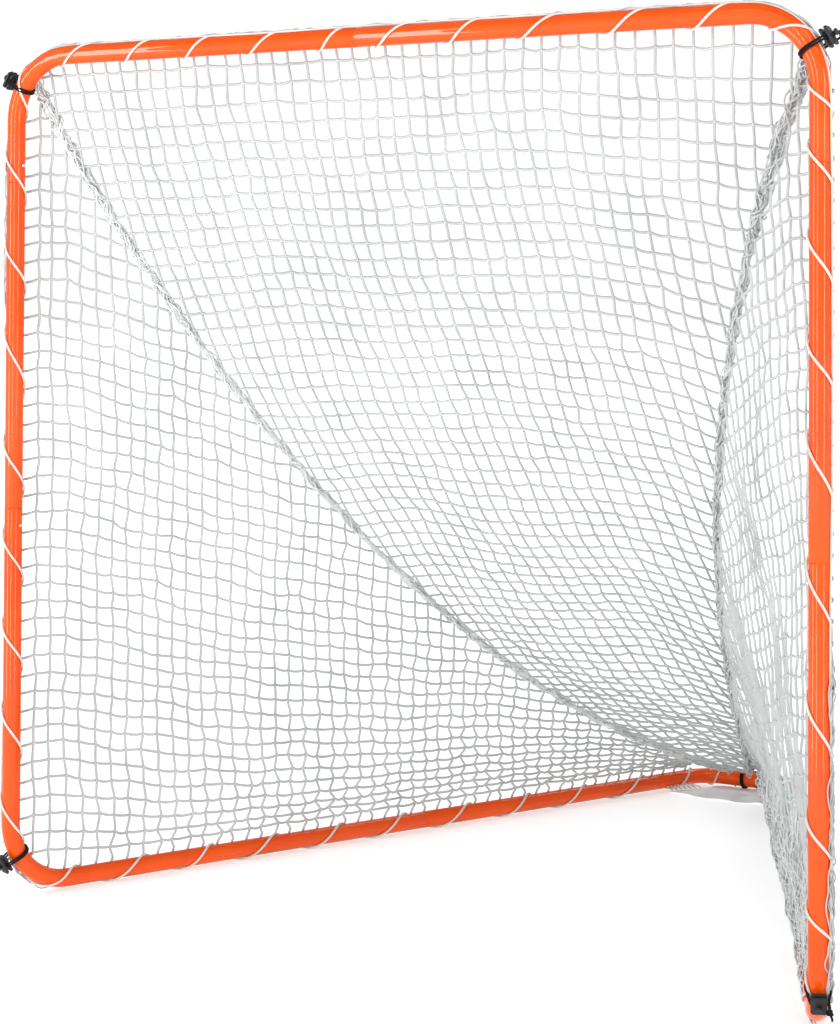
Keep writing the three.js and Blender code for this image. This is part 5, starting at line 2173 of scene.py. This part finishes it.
@dataclass
class RidgeGather:
    """Spare mesh drawn together along a ridge: a loose band of strands that wander round the seam."""

    form: NetForm
    side: Side
    strands: int = 17
    top_reach: float = 0.017
    low_reach: float = 0.0075
    reach_decay: float = 0.5
    right_share: float = 1.3
    start_share: float = 0.6
    end_share: float = 0.995
    steps: int = 420
    twist: float = 1.4
    spread_shares: tuple[float, float, float, float] = (0.62, 0.3, 0.1, 1.15)
    flat_shares: tuple[float, float] = (1.25, 0.8)
    loops: int = 620
    loop_reach: float = 0.012
    loop_spread: float = 0.5
    loop_flatness: float = 0.7
    strand: float = 0.0017
    sides: int = 5
    seed: int = 31

    def _strands(self, maker: MeshMaker, reach: Points) -> None:
        """Adds the strands that wander along the band.

        Args:
            maker: The band's mesh.
            reach: The band's radius along it.
        """
        still = 0 * self.along
        middle, swell, least, most = self.spread_shares
        wide, deep = self.flat_shares
        for k in range(self.strands):
            wander = Waves(self.seed * 100 + k, 1.0, 0.05, 0.3)
            swing = Waves(self.seed * 200 + k, 1.0, 0.04, 0.16)
            angle = 2 * np.pi * k / self.strands + self.twist * wander(self.along, still)
            out = reach * np.clip(middle + swell * swing(self.along, still), least, most)
            turn = wide * np.cos(angle)[:, None] * self.first + deep * np.sin(angle)[:, None] * self.second
            path = self.line + out[:, None] * turn
            lift = self.first + 0.2 * self.second
            maker.tube(path * self.side.flip, self.strand, self.sides, lift * self.side.flip)

    def _loops(self, maker: MeshMaker, reach: Points) -> None:
        """Adds short loose ends all along the band.

        Args:
            maker: The band's mesh.
            reach: The band's radius along it.
        """
        draw = np.random.default_rng(self.seed + self.side.value)
        along, line = self.along, self.line
        for at in draw.uniform(0.0, along[-1], self.loops):
            stops = at + self.loop_reach * np.array([-1.0, 0.0, 1.0])
            spot = np.stack([np.interp(stops, along, line[:, c]) for c in range(3)], axis=1)
            local = draw.normal(0, self.loop_spread, (3, 2)) * np.interp(at, along, reach)
            index = int(np.clip(np.searchsorted(along, at), 0, len(along) - 1))
            spot = spot + local[:, :1] * self.first[index]
            spot = spot + local[:, 1:] * self.second[index] * self.loop_flatness
            maker.tube(spline(spot, 3) * self.side.flip, self.strand, self.sides, draw.normal(size=3))

    def build(self) -> list[bpy.types.Object]:
        """Makes the band.

        Returns:
            The band.
        """
        shares = np.linspace(self.form.ridge_start * self.start_share, self.end_share, self.steps)
        self.line = self.form.ridge_point(shares)
        tangent = unit(np.gradient(self.line, axis=0))
        self.first = unit(np.cross(tangent, RIGHTWARD))
        self.second = np.cross(tangent, self.first)
        self.along = distances(self.line)
        reach = self.low_reach + (self.top_reach - self.low_reach) * np.exp(-self.along / self.reach_decay)
        if self.side is Side.RIGHT:
            reach *= self.right_share
        maker = MeshMaker()
        self._strands(maker, reach)
        self._loops(maker, reach)
        # The left ridge gets the lightest painted-light copy of the twine, the right ridge the lighter one.
        twine = HALF_LIT_TWINE if self.side is Side.RIGHT else RIDGE_LIT_TWINE
        piece = maker.finish(f"{self.side.word}_ridge_gather", twine, self.form.ring.sizes.place)
        dress(piece, ROOT, twine)
        return [piece]


@dataclass
class NetHem:
    """The net's spare border, bunched along the outside of a tube behind the lacing."""

    form: NetForm
    name: str
    start: float
    end: float
    outward: Points
    strands: int = 9
    depth: float = 0.009
    width: float = 0.012
    strand: float = 0.0014
    step: float = 0.006
    fewest_steps: int = 8
    fade_reach: float = 0.05
    fade_least: float = 0.15
    rise_shares: tuple[float, float] = (0.32, 0.5)
    seed: int = 401

    @classmethod
    def runs(cls, form: NetForm) -> list["NetHem"]:
        """Finds the four stretches of tube where the photograph shows the border.

        Args:
            form: The net's surfaces.

        Returns:
            A hem for each.
        """
        bends, low = form.ring.bends, form.ring.at(form.ring.bends[Corner.BOTTOM_LEFT].end)[0][2]
        corner, left = bends[Corner.BOTTOM_LEFT], bends[Corner.BOTTOM_LEFT].end - low
        right = bends[Corner.BOTTOM_RIGHT].start + low
        post_heights, post_clear, crossbar_inset = (1.28, 1.70), (0.72, 0.06), 0.1
        corner_lead, corner_trail = 0.02, 0.07
        above, outside = UP + 0.7 * REARWARD, -RIGHTWARD - 0.5 * UP - 0.2 * REARWARD
        beside = RIGHTWARD + 0.2 * REARWARD
        top = bends[Corner.TOP_LEFT].start + crossbar_inset, bends[Corner.TOP_RIGHT].end
        foot = corner.start - corner_lead, corner.end - corner_trail
        return [
            cls(form, "left_post_hem", *(left + h for h in post_heights), -RIGHTWARD, strands=6, depth=0.005),
            cls(form, "crossbar_hem", *top, above, strands=6, depth=0.005),
            cls(form, "right_post_hem", *(right - h for h in post_clear), beside, depth=0.007),
            cls(form, "left_corner_hem", *foot, outside, depth=0.012, seed=907),
        ]

    def _line(self) -> tuple[Points, Points, Points]:
        """Follows the tube's outside.

        Returns:
            Points on it, with the outward and sideways directions there.
        """
        ring = self.form.ring
        count = max(self.fewest_steps, int((self.end - self.start) / self.step))
        line, out, side = [], [], []
        for station in np.linspace(self.start, self.end, count):
            point, tangent = ring.at(station)
            away = unit(self.outward - tangent * np.dot(self.outward, tangent))
            line.append(point + away * ring.sizes.tube_radius)
            out.append(away)
            side.append(np.cross(tangent, away))
        return np.array(line), np.array(out), np.array(side)

    def build(self) -> list[bpy.types.Object]:
        """Makes the hem along one tube.

        Returns:
            The hem.
        """
        line, out, side = self._line()
        along = np.linspace(0.0, self.end - self.start, len(line))
        fade = np.clip(along / self.fade_reach, self.fade_least, 1)
        fade = fade * np.clip((along[-1] - along) / self.fade_reach, self.fade_least, 1)
        least, more = self.rise_shares
        maker = MeshMaker()
        for k in range(self.strands):
            rise = Waves(self.seed + 3 * k, 0.30, 0.02, 0.09, 9)
            drift = Waves(self.seed + 3 * k + 1, 0.35, 0.03, 0.14, 9)
            height = (least + more * (k % 3) / 2 + rise(along, 0 * along)) * self.depth * fade
            across = ((k / (self.strands - 1)) * 2 - 1 + drift(along, 0 * along)) * self.width * fade
            path = line + out * (np.maximum(height, self.strand)[:, None]) + side * across[:, None]
            path -= out * (across**2 / (2 * self.form.ring.sizes.tube_radius))[:, None]
            path[:, 2] = np.maximum(path[:, 2], self.strand)
            maker.tube(path, self.strand, 5, out + 0.1 * side)
        piece = maker.finish(self.name, SHADED_TWINE, self.form.ring.sizes.place)
        dress(piece, ROOT, SHADED_TWINE)
        return [piece]


@dataclass
class NetBunch(MeshPanel):
    """Spare mesh that hangs inside a base tube in a loose, dense fold down to the ground."""

    side: Side = Side.RIGHT
    start: float = 0.10
    end: float = 2.00
    top: float = 0.28
    least_top: float = 0.09
    ragged: tuple[tuple[float, float], ...] = ((0.014, 17.0), (0.008, 47.0))
    near_bulge: float = -0.003
    bulge_growth: float = 0.031
    layer_gap: float = 0.005
    floor_gap: float = 0.004
    pitch: float = 0.030
    row_pitch: float = 0.0105
    crowding: float = 0.75
    zigzag: float = 0.0070
    grain: float = 0.0007
    layers: int = 2

    def _place(self, back: Points, share: Points, layer: int) -> Points:
        """Finds places on the fold.

        Args:
            back: Distance along the base tube.
            share: Zero at the fold's top, one at the ground.
            layer: The fold's layer, from the outside.

        Returns:
            The places.
        """
        form = self.form
        run = np.clip((back - self.start) / (self.end - self.start), 0, 1)
        (broad, slow), (fine, fast) = self.ragged
        ragged = broad * np.sin(back * slow + 2.0 * layer) + fine * np.sin(back * fast)
        top = self.top * (1 - run) ** 0.6 + self.least_top + ragged
        height = top * (1 - share)
        over = np.maximum(height - form.ring.sizes.base_height - form.standoff, 0.0)
        spot, _, _ = form.side(back, over)
        bulge = self.near_bulge + self.bulge_growth * back + self.layer_gap * layer
        belly = np.sin(np.clip(share, 0, 1) ** 0.8 * np.pi * 0.62) * bulge * np.clip(run / 0.1, 0, 1)
        spot = spot - np.cross(UP, form.ring.base_way) * belly[..., None]
        spot[..., 2] = np.maximum(np.minimum(spot[..., 2], height), self.floor_gap * (1 + layer))
        return spot

    def build(self) -> list[bpy.types.Object]:
        """Makes the fold's crossings, zigzag columns and rows.

        Returns:
            The fold.
        """
        flip, way = self.side.flip, self.form.ring.base_way
        inward = -np.cross(UP, way)
        shares = np.linspace(0.0, 1.0, int(self.top / self.row_pitch)) ** self.crowding
        a, s = np.meshgrid(np.arange(self.start, self.end, self.pitch), shares, indexing="ij")
        zigzag = self.zigzag * alternating(a.shape)[..., None] * way
        ease_in = np.clip(s * 3, 0, 1)
        for layer in range(self.layers):
            swell = Waves(self.seed + 7 * layer, 0.006, 0.12, 0.4)
            drag = Waves(self.seed + 7 * layer + 1, 0.005, 0.12, 0.4)
            noise = self.draw.normal(0, self.grain, (*a.shape, 3))
            spot = self._place(a + drag(a, s), s, layer) + noise
            spot = spot + inward * (np.abs(swell(a, s)) * ease_in)[..., None] + zigzag
            spot[..., 2] = np.maximum(spot[..., 2], self.strand * 1.5)
            self.knots(spot.reshape(-1, 3) * flip)
            for column in spot:
                self.strand_through(column * flip, way * flip, 0.0)
            for row in spot.swapaxes(0, 1):
                self.strand_through(row * flip, inward * flip + 0.2 * UP, 0.0)
        return self.finish()


@dataclass
class BorderCord:
    """The rope in the net's edge: outside the posts, on top of the crossbar and outside the base."""

    form: NetForm
    radius: float = 0.0023
    reach: float = 1.13
    centre_share: float = 1 / 3
    lean: float = -0.12
    mouth_depth: float = 0.1
    base_top: float = 0.1
    base_front: float = 0.14
    steps: int = 1500
    half_window: int = 12
    sides: int = 8

    def _outward(self, point: Points, tangent: Points) -> Points:
        """Finds the side of the tube that the rope lies on.

        Args:
            point: The place on the tube's centre line.
            tangent: The direction of travel there.

        Returns:
            The side's direction.
        """
        ring, sizes = self.form.ring, self.form.ring.sizes
        if point[2] < self.base_top and point[1] > self.base_front:
            return np.cross(UP, ring.base_way) * (MIRROR if point[0] > 0 else np.ones(3))
        centre = np.array([0.0, sizes.frame_depth, sizes.crossbar_height]) * self.centre_share
        outward = point - centre
        outward[1] = self.lean if point[1] < self.mouth_depth else 0.0
        return unit(outward - tangent * np.dot(outward, tangent))

    def build(self) -> list[bpy.types.Object]:
        """Lays the rope against the tubes between the turns of the lacing.

        Returns:
            The rope.
        """
        ring = self.form.ring
        ends = ring.bends[Corner.REAR_LEFT].end, ring.bends[Corner.REAR_RIGHT].start
        drift = Waves(53, 0.16, 0.2, 0.9)
        path, lift = [], []
        for station in np.linspace(*ends, self.steps):
            point, tangent = ring.at(station)
            outward = self._outward(point, tangent)
            turn = float(drift(np.array(station), np.array(0.0)))
            away = outward * math.cos(turn) + np.cross(tangent, outward) * math.sin(turn)
            path.append(point + ring.sizes.tube_radius * self.reach * away)
            lift.append(outward)
        line = np.stack([smoothed(values, self.half_window) for values in np.array(path).T], axis=1)
        maker = MeshMaker()
        maker.tube(line, self.radius, self.sides, np.array(lift))
        piece = maker.finish("net_border_rope", LACE, ring.sizes.place)
        dress(piece, ROOT, LACE)
        return [piece]


@dataclass
class GroundSkirt:
    """The cloth gusset on the ground inside the rear tube, its rear edge tucked under the tube and its side
    edges laced to the base tubes.
    """

    form: NetForm
    front_half: float = 0.160
    rear_half: float = 0.066
    reach: float = 0.172
    tuck: float = 0.016
    thickness: float = 0.0009
    ground_gap: float = 0.0008
    folds: float = 3.0
    fold_height: float = 0.0035
    crease_height: float = 0.0007
    scoop: float = 0.16
    columns: int = 72
    rows: int = 44
    lace_radius: float = 0.0015
    lace_turns: tuple[float, float, int] = (0.42, 0.97, 7)
    lace_inset: float = 0.007
    lace_rise: float = 0.0055
    lace_shares: tuple[float, float] = (1.02, 0.8)

    def build(self) -> list[bpy.types.Object]:
        """Makes the cloth with its folds, and its laces.

        Returns:
            The cloth and the two laces.
        """
        sizes = self.form.ring.sizes
        spans = np.linspace(-1, 1, self.columns), np.linspace(0, 1, self.rows)
        across, forward = np.meshgrid(*spans, indexing="ij")
        rear = sizes.frame_depth - sizes.tube_radius + self.tuck
        x = (self.rear_half + (self.front_half - self.rear_half) * forward) * across
        y = rear - self.reach * forward * (1 - self.scoop * across**2 * forward)
        creases = Waves(71, 1.0, 0.03, 0.12, 9)
        wave = (1 - np.cos(2 * np.pi * self.folds * (across + 1) / 2)) / 2
        z = self.ground_gap + self.fold_height * wave * np.clip(forward * 3, 0, 1)
        z = z + self.crease_height * np.abs(creases(x, y))
        top = np.stack([x, y, z + self.thickness], axis=-1)
        bottom = np.stack([x, y, z], axis=-1)
        maker = MeshMaker()
        maker.grid(top, flip=True)
        maker.grid(bottom)
        for edge in (np.s_[0, :], np.s_[-1, :], np.s_[:, 0], np.s_[:, -1]):
            maker.grid(np.stack([top[edge], bottom[edge]]))
        skirt = maker.finish("ground_gusset", CLOTH, sizes.place)
        weld(skirt)
        dress(skirt, ROOT, CLOTH, "ground_skirt")
        return [skirt, *(self._lace(side, rear) for side in Side)]

    def _lace(self, side: Side, rear: float) -> bpy.types.Object:
        """Laces an edge of the cloth to the base tube beside it.

        Args:
            side: Which edge.
            rear: Where the cloth's rear edge lies.

        Returns:
            The lace.
        """
        ring = self.form.ring
        radius = ring.sizes.tube_radius
        out_share, height_share = self.lace_shares
        inward = -np.cross(UP, ring.base_way)
        path = []
        for forward in np.linspace(*self.lace_turns):
            y = rear - self.reach * forward * (1 - self.scoop * forward)
            x = self.lace_inset - self.rear_half - (self.front_half - self.rear_half) * forward
            back = (y - self.form.base_start[1]) / ring.base_way[1]
            tube = self.form.side_foot(np.array(back)) + inward * radius * out_share
            tube[2] = radius * height_share
            path += [np.array([x, y, self.lace_rise]), tube]
        maker = MeshMaker()
        maker.tube(spline(np.array(path), 5) * side.flip, self.lace_radius, 7, UP)
        piece = maker.finish(f"{side.word}_gusset_lace", LACE, ring.sizes.place)
        dress(piece, ROOT, LACE)
        return piece


@dataclass(frozen=True)
class SoftBox:
    """One studio light: its name, place, width and height, and power."""

    name: str
    spot: tuple[float, float, float]
    size: tuple[float, float]
    power: float

    def hang(self, aim: tuple[float, float, float]) -> None:
        """Hangs the light.

        Args:
            aim: What it faces.
        """
        data = bpy.data.lights.new(self.name, "AREA")
        data.shape = "RECTANGLE"
        data.size, data.size_y = self.size
        data.energy = self.power
        light = bpy.data.objects.new(self.name, data)
        light.location = self.spot
        light.rotation_euler = (Vector(aim) - Vector(self.spot)).to_track_quat("-Z", "Y").to_euler()
        bpy.context.scene.collection.objects.link(light)


@dataclass
class Studio:
    """The pale floor, the soft lights and the camera."""

    sizes: GoalSizes
    focal_pixels: float = 2327.3
    image_height: float = 1024.0
    image_width: float = 840.0
    principal: tuple[float, float] = (374.87, 249.40)
    eye: tuple[float, float, float] = (2.42583, -3.99464, 1.34329)
    turn: float = math.radians(31.3)
    pitch: float = 0.01806
    roll: float = 0.00554
    sensor: float = 36.0
    far_clip: float = 200.0
    floor_reach: float = 60.0
    floor_drop: float = 0.0005
    sky_band: tuple[float, float] = (0.2, 0.75)
    sky_level: float = 1.05
    sky_overhead: float = 0.35
    aim: tuple[float, float, float] = (0.0, 0.3, 0.8)

    boxes = (
        SoftBox("key", (3.5, -3.0, 5.5), (2.5, 2.5), 45.0),
        SoftBox("fill", (-4.5, -2.5, 4.5), (2.5, 2.5), 10.0),
        SoftBox("left box", (-3.0, -4.2, 1.7), (0.7, 3.4), 90.0),
        SoftBox("right box", (5.2, -2.9, 1.7), (0.6, 3.4), 75.0),
        SoftBox("narrow box", (0.2, -5.6, 1.7), (0.45, 3.4), 60.0),
        SoftBox("front box", (0.5, -4.6, 4.4), (4.0, 0.4), 14.0),
        SoftBox("back fill", (0.8, 5.5, 5.0), (3.5, 2.5), 90.0),
    )

    def camera(self) -> None:
        """Sets the camera up at the photograph's viewing angle."""
        data = bpy.data.cameras.new("camera")
        data.lens = self.focal_pixels * self.sensor / self.image_height
        data.sensor_width = self.sensor
        data.shift_x = (self.image_width / 2 - self.principal[0]) / self.image_height
        data.shift_y = (self.principal[1] - self.image_height / 2) / self.image_height
        data.clip_end = self.far_clip
        camera = bpy.data.objects.new("camera", data)
        camera.matrix_world = (
            Matrix.Translation(Vector(self.eye) + Vector(self.sizes.place))
            @ Matrix.Rotation(self.turn, 4, "Z")
            @ Matrix.Rotation(math.pi / 2 + self.pitch, 4, "X")
            @ Matrix.Rotation(self.roll, 4, "Z")
        )
        bpy.context.scene.collection.objects.link(camera)
        bpy.context.scene.camera = camera

    def floor(self) -> None:
        """Lays the floor."""
        line = np.linspace(-self.floor_reach, self.floor_reach, 9)
        x, y = np.meshgrid(line, line, indexing="ij")
        maker = MeshMaker()
        maker.grid(np.stack([x, y, np.full_like(x, -self.floor_drop)], axis=-1))
        maker.finish("studio_floor", FLOOR)

    def lights(self) -> None:
        """Lights the surroundings, paler level with the goal than overhead, and hangs the soft boxes."""
        world = bpy.data.worlds.new("studio")
        world.use_nodes = True
        tree = world.node_tree
        background = tree.nodes["Background"]
        direction = tree.nodes.new("ShaderNodeTexCoord")
        height = tree.nodes.new("ShaderNodeSeparateXYZ")
        strength = tree.nodes.new("ShaderNodeMapRange")
        strength.interpolation_type = "SMOOTHSTEP"
        limits = (*self.sky_band, self.sky_level, self.sky_overhead)
        for name, value in zip(("From Min", "From Max", "To Min", "To Max"), limits):
            strength.inputs[name].default_value = value
        tree.links.new(direction.outputs["Generated"], height.inputs[0])
        tree.links.new(height.outputs["Z"], strength.inputs["Value"])
        tree.links.new(strength.outputs["Result"], background.inputs["Strength"])
        background.inputs["Color"].default_value = (1.0, 1.0, 1.0, 1.0)
        bpy.context.scene.world = world
        bpy.context.scene.view_settings.view_transform = "Standard"
        for box in self.boxes:
            box.hang(self.aim)

    def build(self) -> None:
        """Sets the whole studio up."""
        self.camera()
        self.floor()
        self.lights()


class SubAssembly(Protocol):
    """What main builds."""

    def build(self) -> list[bpy.types.Object]:
        """Makes the pieces and returns them."""


def main() -> None:
    """Builds the studio, then the goal's sub-assemblies in order, and reports each piece."""
    logging.basicConfig(level=logging.INFO, format="%(name)s: %(message)s")
    sizes = GoalSizes.from_frame()
    Studio(sizes).build()
    LOG.info("studio: camera, floor and lights")
    ring = TubeRing(sizes)
    tubes, form = TubeFrame(ring), NetForm(ring)
    left, right = Side.LEFT, Side.RIGHT
    # The fold uses the lighter, painted-light copy of the twine.
    fold = {"twine": HALF_LIT_TWINE, "strand": 0.0018, "sides": 4, "steps": 2, "seed": 61}
    sub_assemblies: list[SubAssembly] = [
        tubes,
        SnapButtons(tubes),
        CordLocks(ring),
        Lacing(ring),
        RoofPanel("roof_mesh", ("roof_net",), form),
        SidePanel("left_side_mesh", ("left_side_net",), form, seed=22, side=left),
        RidgeGather(form, left),
        SidePanel("right_side_mesh", ("right_side_net",), form, seed=24, side=right, bow=0.0065),
        RidgeGather(form, right),
        BorderCord(form),
        NetBunch("right_base_fold", (), form, **fold),
        *NetHem.runs(form),
        GroundSkirt(form),
    ]
    for sub_assembly in sub_assemblies:
        for piece in sub_assembly.build():
            LOG.info("%s: %d faces", piece.name, len(piece.data.polygons))


if __name__ == "__main__":
    main()
